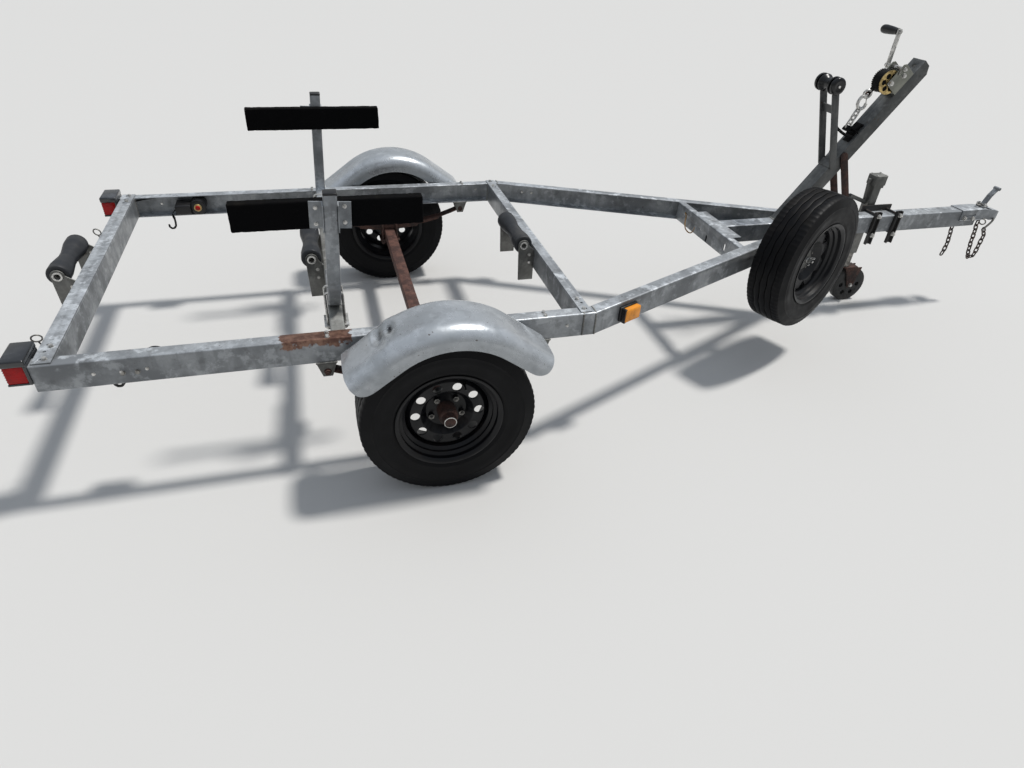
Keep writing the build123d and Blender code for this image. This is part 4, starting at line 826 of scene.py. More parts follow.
# %% Three tyres
spare_low, spare_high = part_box("spare_tyre")
SPARE_AXIS = Vector((math.sin(DRAW_ANGLE), -math.cos(DRAW_ANGLE), 0))
SPARE_PLACE = stand((spare_low + spare_high) / 2, SPARE_AXIS, (math.cos(DRAW_ANGLE), math.sin(DRAW_ANGLE), 0))
for side_name, side in SIDES:
    name = "tyre_tread_" + side_name
    tyre = make_tyre(name, wheel_place(side), 310, 190, 6.0, 0.0, 1.8)
    put(name, tyre, tyre_rubber, "wheel_" + side_name, ["tyre_" + side_name])
spare_tread = make_tyre("spare_tread", SPARE_PLACE, 309, 183, 4.6, 2.2, 2.2)
put("spare_tread", spare_tread, tyre_rubber, "frame", ["spare_tyre"])
print("tyres of", len(spare_tread.polygons), "faces each")

# %% [markdown]
# ## Rollers
# Boats rest on rubber rollers. Each keel roller is a spool with swollen ends round a steel pipe, and the bow
# roller is a small spool between two bells. Half an outline and its mirror image make each spool.

# %% Rollers
KEEL_HALF = 148
KEEL_END = 40
KEEL_WAIST = 30.5
PIPE_OUTER = 17.5
PIPE_BORE = 11
PIPE_HALF = KEEL_HALF + 11.5


def both_ends(half):
    """A whole outline from its first half, (along, radius) with along below zero."""
    return half + [(-along, radius) for along, radius in reversed(half)]


def middle_of(node_name, axis=(0, 1, 0)):
    """The placing matrix at a node's middle, with local Z along an axis."""
    low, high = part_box(node_name)
    return stand((low + high) / 2, axis)


KEEL_SPOOL = soften(both_ends([
    (-KEEL_HALF, PIPE_OUTER), (-KEEL_HALF, KEEL_END - 3), (-KEEL_HALF + 5, KEEL_END),
    (-KEEL_HALF * 0.66, KEEL_END), (-KEEL_HALF * 0.5, KEEL_END - 3), (-20, KEEL_WAIST),
]), 5)
KEEL_PIPE = soften(both_ends([(-PIPE_HALF, PIPE_BORE), (-PIPE_HALF, PIPE_OUTER)]), 1.2, 2)
for where in ("rear", "middle", "front"):
    place = middle_of("keel_roller_" + where)
    put_parts("roller_" + where, [
        turned(KEEL_SPOOL, place, roller_rubber, 56), turned(KEEL_PIPE, place, zinc_plate, 32),
    ], "keel_roller_" + where, ["keel_roller_" + where])
print("keel rollers", 2 * KEEL_HALF, "mm long from", len(KEEL_SPOOL), "section points")

# %% Bow roller
BOW_OUTER = 38
BOW_WAIST = 24
BOW_SPOOL_HALF = 36.5
BOW_BELL = (47.5, 69.5)
BOW_AXLE_HALF = BOW_BELL[1] - 1
BOW_AXLE = 5.8
bow_place = middle_of("bow_roller")
bow_spool = soften(both_ends([
    (-BOW_SPOOL_HALF, 6), (-BOW_SPOOL_HALF, BOW_OUTER), (-BOW_SPOOL_HALF + 8, BOW_OUTER), (-12, BOW_WAIST),
]), 5)
bow_parts = [turned(bow_spool, bow_place, bow_rubber)]
for side in (-1, 1):
    bell = soften([
        (side * BOW_BELL[0], 7), (side * BOW_BELL[0], BOW_OUTER), (side * (BOW_BELL[1] - 8), BOW_OUTER - 1),
        (side * (BOW_BELL[1] - 2), BOW_WAIST + 2), (side * (BOW_BELL[1] - 5), 13),
        (side * (BOW_BELL[1] - 5), 7),
    ], 4)
    bow_parts.append(turned(bell, bow_place, bow_rubber))
bow_axle = both_ends([(-BOW_AXLE_HALF, 0), (-BOW_AXLE_HALF, BOW_AXLE)])
bow_parts.append(turned(bow_axle, bow_place, zinc_plate, 24))
put_parts("bow_roller_rubber", bow_parts, "bow_roller", ["bow_roller"])
print("turned three keel rollers and the bow roller")

# %% [markdown]
# ## Fenders
# Each fender is one pressed sheet: flat skirts, two round shoulders and a slightly crowned top, bent over the
# wheel in an arc that runs out into straight flares, with the corners of its ends cut round. Its section
# changes only at the ends, so a grid of stations and section points describes it, Solidify gives it its
# thickness, and a narrow bevel softens the cut edges. The near one carries an old dent on its rear slope.

# %% Fenders
FENDER_RADIUS = 362
FENDER_CENTRE_Z = 338
FENDER_ARC = math.radians(36)
FENDER_FLARE = 170
FENDER_SKIRT = 72
FENDER_WIDTH = 236
FENDER_INNER_Y = 757
FENDER_INNER_CORNER = 48
FENDER_OUTER_CORNER = 55
FENDER_END_CORNER = 50
FENDER_CROWN = 7
FENDER_SHEET = 0.003
FENDER_CENTRES = {"right": 12, "left": 45}
END_STEPS = (0, 2, 6, 12, 20, 32, 50, 80, 110, 140)
ARC_STEPS = 24


def fender_stations():
    """Points along the fender's top: (ahead of its middle, height, slope angle, distance from its end)."""
    sine, cosine = math.sin(FENDER_ARC), math.cos(FENDER_ARC)
    stations = []
    for step in END_STEPS:
        run = FENDER_FLARE - step
        stations.append((
            -FENDER_RADIUS * sine - run * cosine, FENDER_CENTRE_Z + FENDER_RADIUS * cosine - run * sine,
            -FENDER_ARC, step,
        ))
    flare = [(-ahead, height, -angle, step) for ahead, height, angle, step in reversed(stations)]
    for step in range(ARC_STEPS + 1):
        angle = FENDER_ARC * (2 * step / ARC_STEPS - 1)
        stations.append((
            FENDER_RADIUS * math.sin(angle), FENDER_CENTRE_Z + FENDER_RADIUS * math.cos(angle), angle,
            FENDER_FLARE,
        ))
    return stations + flare


# %% A fender's section
def fender_section(depth):
    """The section from the inner skirt's edge over the top to the outer skirt's edge, as (across, down)."""
    section = []
    for corner, mirrored in ((FENDER_INNER_CORNER, False), (FENDER_OUTER_CORNER, True)):
        start = math.asin(max(0.0, 1 - depth / corner))
        bend = [start + (math.pi / 2 - start) * step / 7 for step in range(8)]
        foot = corner * (1 - math.sin(start))
        straight = max(0.0, depth - corner)
        side = [(corner * (1 - math.cos(start)), foot + straight * share) for share in (1, 0.66, 0.33)]
        side += [(corner * (1 - math.cos(angle)), corner * (1 - math.sin(angle))) for angle in bend]
        if mirrored:
            side = [(FENDER_WIDTH - across, down) for across, down in reversed(side)]
        section += side
        if not mirrored:
            flat_from = FENDER_INNER_CORNER
            flat_to = FENDER_WIDTH - FENDER_OUTER_CORNER
            section += [(flat_from + (flat_to - flat_from) * step / 9, 0) for step in range(1, 9)]
    return [(across, down + FENDER_CROWN * (2 * across / FENDER_WIDTH - 1) ** 2) for across, down in section]


print("a fender's section has", len(fender_section(FENDER_SKIRT)), "points")


# %% Bending and denting the sheet
def fender_grid(side_name, side):
    """The fender as one layer of points and faces."""
    points = []
    for ahead, height, slope, from_end in fender_stations():
        rounding = FENDER_END_CORNER - min(from_end, FENDER_END_CORNER)
        depth = FENDER_SKIRT - FENDER_END_CORNER + math.sqrt(FENDER_END_CORNER ** 2 - rounding ** 2)
        section = fender_section(depth)
        for across, down in section:
            points.append(spot(
                FENDER_CENTRES[side_name] + ahead - down * math.sin(slope), side * (FENDER_INNER_Y + across),
                height - down * math.cos(slope),
            ))
    wide = len(section)
    faces = [
        (row * wide + column, row * wide + column + 1, (row + 1) * wide + column + 1, (row + 1) * wide + column)
        for row in range(len(points) // wide - 1) for column in range(wide - 1)
    ]
    mesh = mesh_of("fender_grid", points, faces, merge=0.0004)
    if sum(face.normal.z for face in mesh.polygons) < 0:
        mesh.flip_normals()
    return mesh


def make_fender(side_name, side):
    """Smooth one fender's grid, dent the near one, thicken it and soften its edges."""
    obj = new_object("fender_grid", fender_grid(side_name, side))
    finer = obj.modifiers.new("finer", "SUBSURF")
    finer.levels = finer.render_levels = 2 if side < 0 else 1
    smooth_sheet = finished(obj, 40)
    if side < 0:
        dent_fender(smooth_sheet)
    obj = new_object("fender_sheet", smooth_sheet)
    sheet = obj.modifiers.new("sheet", "SOLIDIFY")
    sheet.thickness = FENDER_SHEET
    sheet.offset = -1
    edge = obj.modifiers.new("edge", "BEVEL")
    edge.width = 0.0009
    edge.segments = 2
    edge.angle_limit = math.radians(50)
    return finished(obj, 40)


def dent_fender(mesh):
    """Press two short creases into the near fender's rear slope, each with a low swell round it."""
    for place, reach, depth in DENTS:
        for vertex in mesh.vertices:
            gap = ((vertex.co - place) * DENT_SHAPE).length
            wave = math.exp(-(gap / reach) ** 2) - 0.25 * math.exp(-((gap - 1.7 * reach) / reach) ** 2)
            vertex.co.z -= depth * wave


# %% Two fenders
for side_name, side in SIDES:
    name = "fender_sheet_" + side_name
    sheet = make_fender(side_name, side)
    fender = put(name, sheet, galvanised_fender, "frame", ["fender_" + side_name])
    print("fender", side_name, "has", len(fender.data.polygons), "faces")

# %% [markdown]
# ## Carpeted boards
# The boat slides past two planks wrapped in black carpet. The wrap softens every edge and is never quite
# flat, so the plank is a finely divided box whose points move a little by noise, with the wrap's fold at each
# end.

# %% Carpeted boards
CARPET_STEP = 0.008
CARPET_LIFT = 0.0011
CARPET_EDGE = 0.006
FOLD_FROM_END = 0.032


def box_between(low, high):
    """A bmesh with a box between two corners."""
    edit = bmesh.new()
    bmesh.ops.create_cube(
        edit, size=1.0, matrix=Matrix.Translation((low + high) / 2) @ Matrix.Diagonal((*(high - low), 1)),
    )
    return edit


def round_edges(edit, reach, segments=3):
    """Round every edge of a box."""
    bmesh.ops.bevel(edit, geom=edit.edges[:], offset=reach, segments=segments, profile=0.5, affect="EDGES")


def make_board(node_name):
    """A soft-edged box as large as the node, finely divided, its skin moved by noise."""
    low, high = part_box(node_name)
    edit = box_between(low, high)
    round_edges(edit, CARPET_EDGE)
    for axis in range(3):
        cuts = int((high - low)[axis] / CARPET_STEP)
        normal = Vector((axis == 0, axis == 1, axis == 2))
        for cut in range(1, cuts):
            bmesh.ops.bisect_plane(
                edit, geom=edit.verts[:] + edit.edges[:] + edit.faces[:], plane_co=low.lerp(high, cut / cuts),
                plane_no=normal, dist=1e-5,
            )
    bmesh.ops.recalc_face_normals(edit, faces=edit.faces)
    edit.normal_update()
    for vertex in edit.verts:
        lift = noise.noise(vertex.co * 55) + 0.6 * noise.noise(vertex.co * 190)
        from_end = min(vertex.co.x - low.x, high.x - vertex.co.x)
        fold = math.exp(-((from_end - FOLD_FROM_END) / 0.0035) ** 2)
        vertex.co += vertex.normal * (CARPET_LIFT * (lift - 1.4) - 0.0012 * fold)
    return mesh_from(edit, "carpeted_" + node_name, 60)


for side_name, side in SIDES:
    node_name = "guide_board_" + side_name
    board = make_board(node_name)
    put("carpeted_" + node_name, board, carpet, "frame", [node_name])
    print("board", side_name, "has", len(board.polygons), "faces")

# %% [markdown]
# ## Lamps
# A tail lamp is a black housing with a red lens in its lower part, and a side marker is an amber lens in a
# black tray. They are small, but their colours are the strongest on the trailer, so each tail lamp gets a
# housing, a foot, ribs across its lens and a reflector, and each marker a tray and a short black strip.

# %% Tail lamps
LENS_TOP = 0.566
LENS_RIB = 0.0014
LENS_RIBS = 7
LENS_RIM = 0.003


def soft_box(low, high, material, bevel=0.003, segments=3):
    """A painted box between two corners with rounded edges."""
    edit = box_between(Vector(low), Vector(high))
    round_edges(edit, bevel, segments)
    return painted(mesh_from(edit, "soft_box", 35), material)


def make_tail_lamp(low, high):
    """A black housing, back and foot, then a red lens with its ribs and its reflector."""
    rim = LENS_RIM
    middle = (low.y + high.y) / 2
    parts = [
        soft_box((low.x, low.y, LENS_TOP), high, lamp_black, 0.006),
        soft_box((high.x - 0.010, low.y + rim, low.z), (high.x, high.y - rim, LENS_TOP + 0.002), lamp_black),
        soft_box((low.x + 0.001, low.y + rim + 0.001, low.z),
                 (high.x - 0.004, high.y - rim - 0.001, low.z + 0.007), lamp_black, 0.002),
        soft_box((low.x + 0.0015, low.y + 2 * rim, low.z + 0.005),
                 (high.x - 0.008, high.y - 2 * rim, LENS_TOP + 0.001), red_lens, 0.005),
    ]
    lens_foot = low.z + 0.007
    for step in range(1, LENS_RIBS):
        height = lens_foot + (LENS_TOP - lens_foot) * step / LENS_RIBS
        parts.append(soft_box(
            (low.x + 0.0012, low.y + 2 * rim - 0.0003, height - LENS_RIB / 2),
            (high.x - 0.009, high.y - 2 * rim + 0.0003, height + LENS_RIB / 2), red_lens, 0.0005, 1,
        ))
    parts.append(soft_box(
        (low.x + 0.0002, middle - 0.02, low.z + 0.012), (low.x + 0.004, middle + 0.02, low.z + 0.028),
        red_lens, 0.001, 2,
    ))
    return parts


for side_name, side in SIDES:
    node_name = "tail_light_" + side_name
    put_parts("lamp_" + node_name, make_tail_lamp(*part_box(node_name)), "frame", [node_name])
print("tail lamps with", LENS_RIBS, "ribs each")

# %% Side markers
MARKER_HALF_LONG = 0.0475
MARKER_HALF_HIGH = 0.031
MARKER_DEPTH = 0.036
MARKER_ALONG = 175
RAIL_BEND = 593
RAIL_MID = (RAIL_TOP + RAIL_BOTTOM) / 2
DRAW_COS, DRAW_SIN = math.cos(DRAW_ANGLE), math.sin(DRAW_ANGLE)


def on_draw_rail(side, along):
    """A place on a draw rail's outer face, from millimetres past its bend."""
    return spot(RAIL_BEND + along * DRAW_COS, side * (RAIL_FACE - along * DRAW_SIN), RAIL_MID)


def marker_box(from_ends, from_edges, low, high, bevel, material, long=None):
    """A soft box in the marker's tray, set in from its ends and edges, as long as the tray unless told."""
    start = from_ends - MARKER_HALF_LONG
    end = MARKER_HALF_LONG - from_ends if long is None else start + long
    half_high = MARKER_HALF_HIGH - from_edges
    return soft_box((start, -half_high, low), (end, half_high, high), material, bevel)


marker_parts = []
for side_name, side in SIDES:
    outward, along = (DRAW_SIN, side * DRAW_COS, 0), (DRAW_COS, -side * DRAW_SIN, 0)
    place = stand(on_draw_rail(side, MARKER_ALONG), outward, along)
    for block in (
        marker_box(0, 0, 0, 0.012, 0.004, black_plastic),
        marker_box(0.004, 0.003, 0.010, MARKER_DEPTH - 0.0005, 0.007, amber_lens),
        marker_box(0.002, 0.001, 0.012, MARKER_DEPTH - 0.003, 0.003, black_plastic, 0.011),
    ):
        block.transform(place)
        marker_parts.append(block)
put_parts("marker_lamps", marker_parts, "frame", ["side_markers"])
print("lamps and markers made")

# %% [markdown]
# ## Geometry Nodes: rods and wires along paths
# U-bolts, rings, hooks, handles and wires are all round bars bent along a path. One tree does them: the
# path's edges become curves, their corners are filleted, and a circle is swept along them. Its sizes are
# named inputs.


# %% Rods and wires
def new_tree(name, inputs):
    """Start a geometry tree with a geometry in and out and named inputs: (name, socket kind, default)."""
    tree = bpy.data.node_groups.new(name, "GeometryNodeTree")
    tree.interface.new_socket("Geometry", in_out="INPUT", socket_type="NodeSocketGeometry")
    for socket_name, kind, default in inputs:
        socket = tree.interface.new_socket(socket_name, in_out="INPUT", socket_type=kind)
        if default is not None:
            socket.default_value = default
    tree.interface.new_socket("Geometry", in_out="OUTPUT", socket_type="NodeSocketGeometry")
    return tree, tree.nodes.new("NodeGroupInput"), tree.nodes.new("NodeGroupOutput")


def socket_id(tree, name):
    """The identifier of a tree's named input."""
    for item in tree.interface.items_tree:
        if item.item_type == "SOCKET" and item.in_out == "INPUT" and item.name == name:
            return item.identifier
    raise KeyError(name)


def end_tree(tree, start, end, geometry):
    """Close a tree with Realize Instances and Set Material."""
    real = add_node(tree, "GeometryNodeRealizeInstances", {"Geometry": geometry})
    dressed = add_node(tree, "GeometryNodeSetMaterial", {
        "Geometry": real.outputs["Geometry"], "Material": start.outputs["Material"],
    })
    tree.links.new(dressed.outputs["Geometry"], end.inputs["Geometry"])


# %% Bent rods
def grown(base_mesh, tree, values, sharp=35):
    """Run a tree on a mesh with its named values and return the result as a plain mesh."""
    obj = new_object("growing", base_mesh)
    growing = obj.modifiers.new("growing", "NODES")
    growing.node_group = tree
    for key, value in values.items():
        growing[socket_id(tree, key)] = value
    return finished(obj, sharp)


def swept(tree, curve, bend, count, radius, sides, caps):
    """Round the corners of a curve and sweep a circle along it."""
    bends = add_node(tree, "GeometryNodeFilletCurve", {
        "Curve": curve.outputs["Curve"], "Radius": bend, "Count": count, "Limit Radius": True,
    }, mode="POLY")
    circle = add_node(tree, "GeometryNodeCurvePrimitiveCircle", {"Radius": radius, "Resolution": sides})
    return add_node(tree, "GeometryNodeCurveToMesh", {
        "Curve": bends.outputs["Curve"], "Profile Curve": circle.outputs["Curve"], "Fill Caps": caps,
    }).outputs["Mesh"]


def make_rod_tree():
    """Sweep a circle along every path of the incoming edges."""
    tree, start, end = new_tree("bent_rods", [
        ("Radius", "NodeSocketFloat", 0.005), ("Bend", "NodeSocketFloat", 0.01), ("Sides", "NodeSocketInt", 10),
        ("Material", "NodeSocketMaterial", None),
    ])
    curve = add_node(tree, "GeometryNodeMeshToCurve", {"Mesh": start.outputs["Geometry"]})
    bar = swept(tree, curve, start.outputs["Bend"], 6, start.outputs["Radius"], start.outputs["Sides"], True)
    end_tree(tree, start, end, bar)
    return tree


ROD_TREE = make_rod_tree()
print("rod tree of", len(ROD_TREE.nodes), "nodes")


# %% Paths for rods
def path_mesh(paths):
    """A mesh of edges only: each path is a list of points and whether it closes."""
    points = []
    edges = []
    for path, closes in paths:
        first = len(points)
        points.extend(path)
        edges += [(first + index, first + index + 1) for index in range(len(path) - 1)]
        if closes:
            edges.append((len(points) - 1, first))
    mesh = bpy.data.meshes.new("paths")
    mesh.from_pydata(points, edges, [])
    return mesh


def rods(paths, radius, material, bend=10.0, sides=10):
    """Round bars along paths, with their radius and bend in millimetres."""
    values = {"Radius": radius * MM, "Bend": bend * MM, "Sides": sides, "Material": material}
    return grown(path_mesh(paths), ROD_TREE, values, 50)


def ring(centre, normal, radius):
    """The closed path of a ring, its radius in millimetres."""
    place = stand(centre, normal, (0.3, 0.5, 0.81))
    return [place @ point for point in around(radius, 20)], True


print("rod tree has", len(ROD_TREE.nodes), "nodes")

# %% [markdown]
# ## Geometry Nodes: bolts and nuts
# A trailer is bolted together, and from a step away its bolt heads are what makes it look real. Every bolt is
# a point with a direction and a size. The tree turns a small head, washer and stud to each direction, gives
# each a random twist from a fixed seed, and realizes them all into one mesh for each body.


# %% Bolts and nuts
CAP_HEIGHT = 0.0009
WASHER_HEIGHT = 0.0018


def bolt_shapes(tree, start):
    """The head, its chamfered cap, the stud and the washer, each lifted to its height and joined."""
    head, height, stud = [start.outputs[name] for name in ("Head", "Height", "Stud")]
    hexagon = {"Vertices": 6, "Radius Bottom": head}
    shapes = (
        ("MeshCone", {**hexagon, "Radius Top": head, "Depth": height}, worked(tree, "MULTIPLY", height, 0.5)),
        ("MeshCone", {**hexagon, "Radius Top": worked(tree, "MULTIPLY", head, 0.82), "Depth": CAP_HEIGHT},
         height),
        ("MeshCylinder", {"Vertices": 10, "Radius": worked(tree, "MULTIPLY", head, 0.52), "Depth": stud},
         worked(tree, "ADD", height, worked(tree, "MULTIPLY", stud, 0.5))),
        ("MeshCylinder", {"Vertices": 16, "Radius": start.outputs["Washer"], "Depth": WASHER_HEIGHT}, 0.0),
    )
    whole = add_node(tree, "GeometryNodeJoinGeometry")
    for kind, sizes, lift in shapes:
        raised = add_node(tree, "ShaderNodeCombineXYZ", {"Z": lift})
        moved = add_node(tree, "GeometryNodeTransform", {
            "Geometry": add_node(tree, "GeometryNode" + kind, sizes).outputs["Mesh"],
            "Translation": raised.outputs["Vector"],
        })
        tree.links.new(moved.outputs["Geometry"], whole.inputs["Geometry"])
    return whole.outputs["Geometry"]


# %% Bolt tree
def make_bolt_tree():
    """Set a hex head or nut with its washer on every point, along the point's facing attribute."""
    tree, start, end = new_tree("bolts", [
        ("Head", "NodeSocketFloat", 0.0095), ("Height", "NodeSocketFloat", 0.0065),
        ("Washer", "NodeSocketFloat", 0.0115), ("Stud", "NodeSocketFloat", 0.004), ("Seed", "NodeSocketInt", 3),
        ("Material", "NodeSocketMaterial", None),
    ])
    facing = add_node(tree, "GeometryNodeInputNamedAttribute", {"Name": "facing"}, data_type="FLOAT_VECTOR")
    size = add_node(tree, "GeometryNodeInputNamedAttribute", {"Name": "size"}, data_type="FLOAT")
    aimed = add_node(tree, "FunctionNodeAlignRotationToVector", {
        "Vector": facing.outputs["Attribute"],
    }, axis="Z")
    twist = add_node(tree, "FunctionNodeRandomValue", {
        2: 0.0, 3: math.pi, "Seed": start.outputs["Seed"],
    }, data_type="FLOAT")
    spin = add_node(tree, "FunctionNodeAxisAngleToRotation", {"Axis": (0, 0, 1), "Angle": twist.outputs[1]})
    both = add_node(tree, "FunctionNodeRotateRotation", {
        "Rotation": aimed.outputs["Rotation"], "Rotate By": spin.outputs["Rotation"],
    }, rotation_space="LOCAL")
    set_down = add_node(tree, "GeometryNodeInstanceOnPoints", {
        "Points": start.outputs["Geometry"], "Instance": bolt_shapes(tree, start),
        "Rotation": both.outputs["Rotation"], "Scale": size.outputs["Attribute"],
    })
    end_tree(tree, start, end, set_down.outputs["Instances"])
    return tree


BOLT_TREE = make_bolt_tree()
print("bolt tree of", len(BOLT_TREE.nodes), "nodes")


# %% Points that carry bolts
def point_mesh(rows):
    """Loose points, each with a facing and a size."""
    mesh = bpy.data.meshes.new("points")
    mesh.from_pydata([place for place, _, _ in rows], [], [])
    facing = mesh.attributes.new("facing", "FLOAT_VECTOR", "POINT")
    facing.data.foreach_set("vector", [part for _, way, _ in rows for part in Vector(way).normalized()])
    size = mesh.attributes.new("size", "FLOAT", "POINT")
    size.data.foreach_set("value", [scale for _, _, scale in rows])
    return mesh


def bolts(rows, material, stud=4.0):
    """Bolt heads or nuts at rows of (place, facing, size), where size 1 is a ten millimetre thread."""
    return grown(point_mesh(rows), BOLT_TREE, {"Stud": stud * MM, "Material": material}, 30)


print("bolt tree has", len(BOLT_TREE.nodes), "nodes")

# %% [markdown]
# ## Geometry Nodes: weld beads
# A hand-laid weld is a row of overlapping drops. Small spheres every few millimetres along the
# joint, each a little larger or smaller than the last by a seeded random value, give the ripple.


# %% Weld beads
def make_weld_tree():
    """Lay drops along the incoming edges."""
    tree, start, end = new_tree("weld_beads", [
        ("Drop", "NodeSocketFloat", 0.0042), ("Pitch", "NodeSocketFloat", 0.0034), ("Seed", "NodeSocketInt", 5),
        ("Material", "NodeSocketMaterial", None),
    ])
    curve = add_node(tree, "GeometryNodeMeshToCurve", {"Mesh": start.outputs["Geometry"]})
    even = add_node(tree, "GeometryNodeCurveToPoints", {
        "Curve": curve.outputs["Curve"], "Length": start.outputs["Pitch"],
    }, mode="LENGTH")
    drop = add_node(tree, "GeometryNodeMeshUVSphere", {
        "Segments": 8, "Rings": 5, "Radius": start.outputs["Drop"],
    })
    amount = add_node(tree, "FunctionNodeRandomValue", {
        2: 0.82, 3: 1.18, "Seed": start.outputs["Seed"],
    }, data_type="FLOAT")
    laid = add_node(tree, "GeometryNodeInstanceOnPoints", {
        "Points": even.outputs["Points"], "Instance": drop.outputs["Mesh"],
        "Rotation": even.outputs["Rotation"], "Scale": amount.outputs[1],
    })
    end_tree(tree, start, end, laid.outputs["Instances"])
    return tree


WELD_TREE = make_weld_tree()
print("weld tree of", len(WELD_TREE.nodes), "nodes")


def beads(paths, drop, material):
    """Weld beads along open paths, with the drop's radius in millimetres."""
    values = {"Drop": drop * MM, "Pitch": drop * 0.85 * MM, "Material": material}
    return grown(path_mesh([(path, False) for path in paths]), WELD_TREE, values, 60)


# %% Welded joints
RAIL_LIP = 50
SPRING_Y = RAIL_FACE - 25
HANGER_REACH = 385
RAILS_MEET = 2172
weld_paths = []
for side_name, side in SIDES:
    web = RAIL_FACE - RAIL_WALL
    lip = RAIL_FACE - RAIL_LIP
    joints = []
    for ahead in (545, RAIL_BEND):
        joints.append(((ahead, RAIL_FACE, RAIL_BOTTOM + 6), (ahead, RAIL_FACE, RAIL_TOP - 5)))
        joints.append(((ahead, RAIL_FACE - 6, RAIL_TOP), (ahead, RAIL_FACE - 47, RAIL_TOP)))
    joints += [((ahead, web, 484), (ahead, web, 552)) for ahead in (-360, -310)]
    joints += [((ahead, lip, RAIL_BOTTOM + 4), (ahead, lip, RAIL_TOP - 6)) for ahead in (-1184, 535)]
    joints += [
        ((RAILS_MEET, TONGUE_HALF, RAIL_BOTTOM + 3), (RAILS_MEET, TONGUE_HALF, TONGUE_TOP - 1)),
        ((MAST_FOOT - 4, 38, TONGUE_TOP), (MAST_FOOT + 70, 38, TONGUE_TOP)),
    ]
    for end in (-HANGER_REACH, HANGER_REACH):
        for across in (-27 * side, 27 * side):
            joints.append((
                (end - 33, SPRING_Y + across, RAIL_BOTTOM), (end + 33, SPRING_Y + across, RAIL_BOTTOM),
            ))
    weld_paths += [[spot(ahead, side * left, height) for ahead, left, height in joint] for joint in joints]
weld_paths.append([spot(MAST_FOOT - 3, left, TONGUE_TOP + 1) for left in (-36, 36)])
welds = put("weld_beads", beads(weld_paths, 3.6, galvanised_dull), None, "frame")
print("welded", len(weld_paths), "joints with", len(welds.data.polygons), "faces")

# %% [markdown]
# ## Where the bolts go
# The lists below follow the trailer from back to front. Heads face out of the web or flange that they clamp,
# and every bolt that shows a nut on its other side has that nut too.

# %% Frame bolts
OUT = {"right": Vector((0, -1, 0)), "left": Vector((0, 1, 0))}
UP = Vector((0, 0, 1))
DOWN = Vector((0, 0, -1))
AHEAD = Vector((1, 0, 0))
WEB_BOLTS = ((-1080, 515), (-1003, 513), (-929, 516), (481, 519))
CORNER_LEFTS = (714, 640)
CORNER_AHEADS = (-1205, 552)
KEEL_BRACKETS = (-1239, -361, 534)
KEEL_PLATE_Y = 150
KEEL_PLATE = 6
HANGER_EYE_Z = 433
DRAW_BOLTS = (1590, 1660, 1990, 2060)
zinc_rows = []
dark_rows = []
for side_name, side in SIDES:
    out = OUT[side_name]
    for ahead, height in WEB_BOLTS:
        zinc_rows.append((spot(ahead, side * RAIL_FACE, height), out, 0.5))
        zinc_rows.append((spot(ahead, side * (RAIL_FACE - RAIL_WALL), height), -out, 0.5))
    for left in CORNER_LEFTS:
        zinc_rows += [(spot(ahead, side * left, RAIL_TOP + 5), UP, 0.75) for ahead in CORNER_AHEADS]
    for plate_side in (-1, 1):
        plate_y = KEEL_PLATE_Y + (KEEL_PLATE if plate_side > 0 else 0)
        for bracket in KEEL_BRACKETS:
            for height in (500, 535):
                zinc_rows.append((spot(bracket - 22, side * plate_y, height), out * plate_side, 0.6))
    for end in (-HANGER_REACH, HANGER_REACH):
        for cheek in (-1, 1):
            dark_rows.append((spot(end, side * SPRING_Y + cheek * 28, HANGER_EYE_Z), (0, cheek, 0), 1.1))
        for across in (-13, 13):
            zinc_rows.append((spot(end + 12, side * SPRING_Y + across, RAIL_TOP), UP, 0.7))
    draw_out = Vector((DRAW_SIN, side * DRAW_COS, 0))
    for along in (MARKER_ALONG - 26, MARKER_ALONG + 26):
        behind = on_draw_rail(side, along) - Vector((5 * DRAW_SIN, side * 6 * DRAW_COS, 0)) * MM
        zinc_rows.append((behind, -draw_out, 0.55))
    for ahead in DRAW_BOLTS:
        rail_y = RAIL_FACE - (ahead - RAIL_BEND) * math.tan(DRAW_ANGLE)
        zinc_rows.append((spot(ahead, side * rail_y, RAIL_MID + 4), draw_out, 0.9))
put("frame_bolts", bolts(zinc_rows, zinc_plate), None, "frame")
put("spring_bolts", bolts(dark_rows, rusty_dark, 7), None, "frame")
print("set", len(zinc_rows) + len(dark_rows), "bolts on the frame")

# %% [markdown]
# ## Springs clamped to the axle
# Two U-bolts at each end of the axle clamp a plate under the tube against the leaves above it.

# %% Axle clamps
AXLE_MID = AXLE_Z / MM
AXLE_HALF = 25
CLAMP_PLATE = 9
LEAF_STACK = 24
U_BOLT_HALF = 29


def staple(foot_a, foot_b, low, high):
    """The open path of a U-bolt from one foot over the top to the other, each foot (ahead, left)."""
    return [spot(*foot_a, low), spot(*foot_a, high), spot(*foot_b, high), spot(*foot_b, low)], False


clamp_paths = []
clamp_rows = []
clamp_parts = []
plate_top = AXLE_MID - AXLE_HALF
for side_name, side in SIDES:
    middle = side * SPRING_Y
    for ahead in (-36, 36):
        clamp_paths.append(staple(
            (ahead, middle - U_BOLT_HALF), (ahead, middle + U_BOLT_HALF), plate_top - 24,
            AXLE_MID + AXLE_HALF + LEAF_STACK + 6,
        ))
        for left in (middle - U_BOLT_HALF, middle + U_BOLT_HALF):
            clamp_rows.append((spot(ahead, left, plate_top - CLAMP_PLATE), DOWN, 1.15))
    clamp_parts.append(soft_box(
        spot(-52, middle - 42, plate_top - CLAMP_PLATE), spot(52, middle + 42, plate_top), rusty_dark, 0.002, 2,
    ))
clamp_parts += [rods(clamp_paths, 5.5, rusty_dark, 12), bolts(clamp_rows, rusty_dark, 9)]
put_parts("axle_clamps", clamp_parts, "frame")
print("axle held by", len(clamp_paths), "U-bolts")

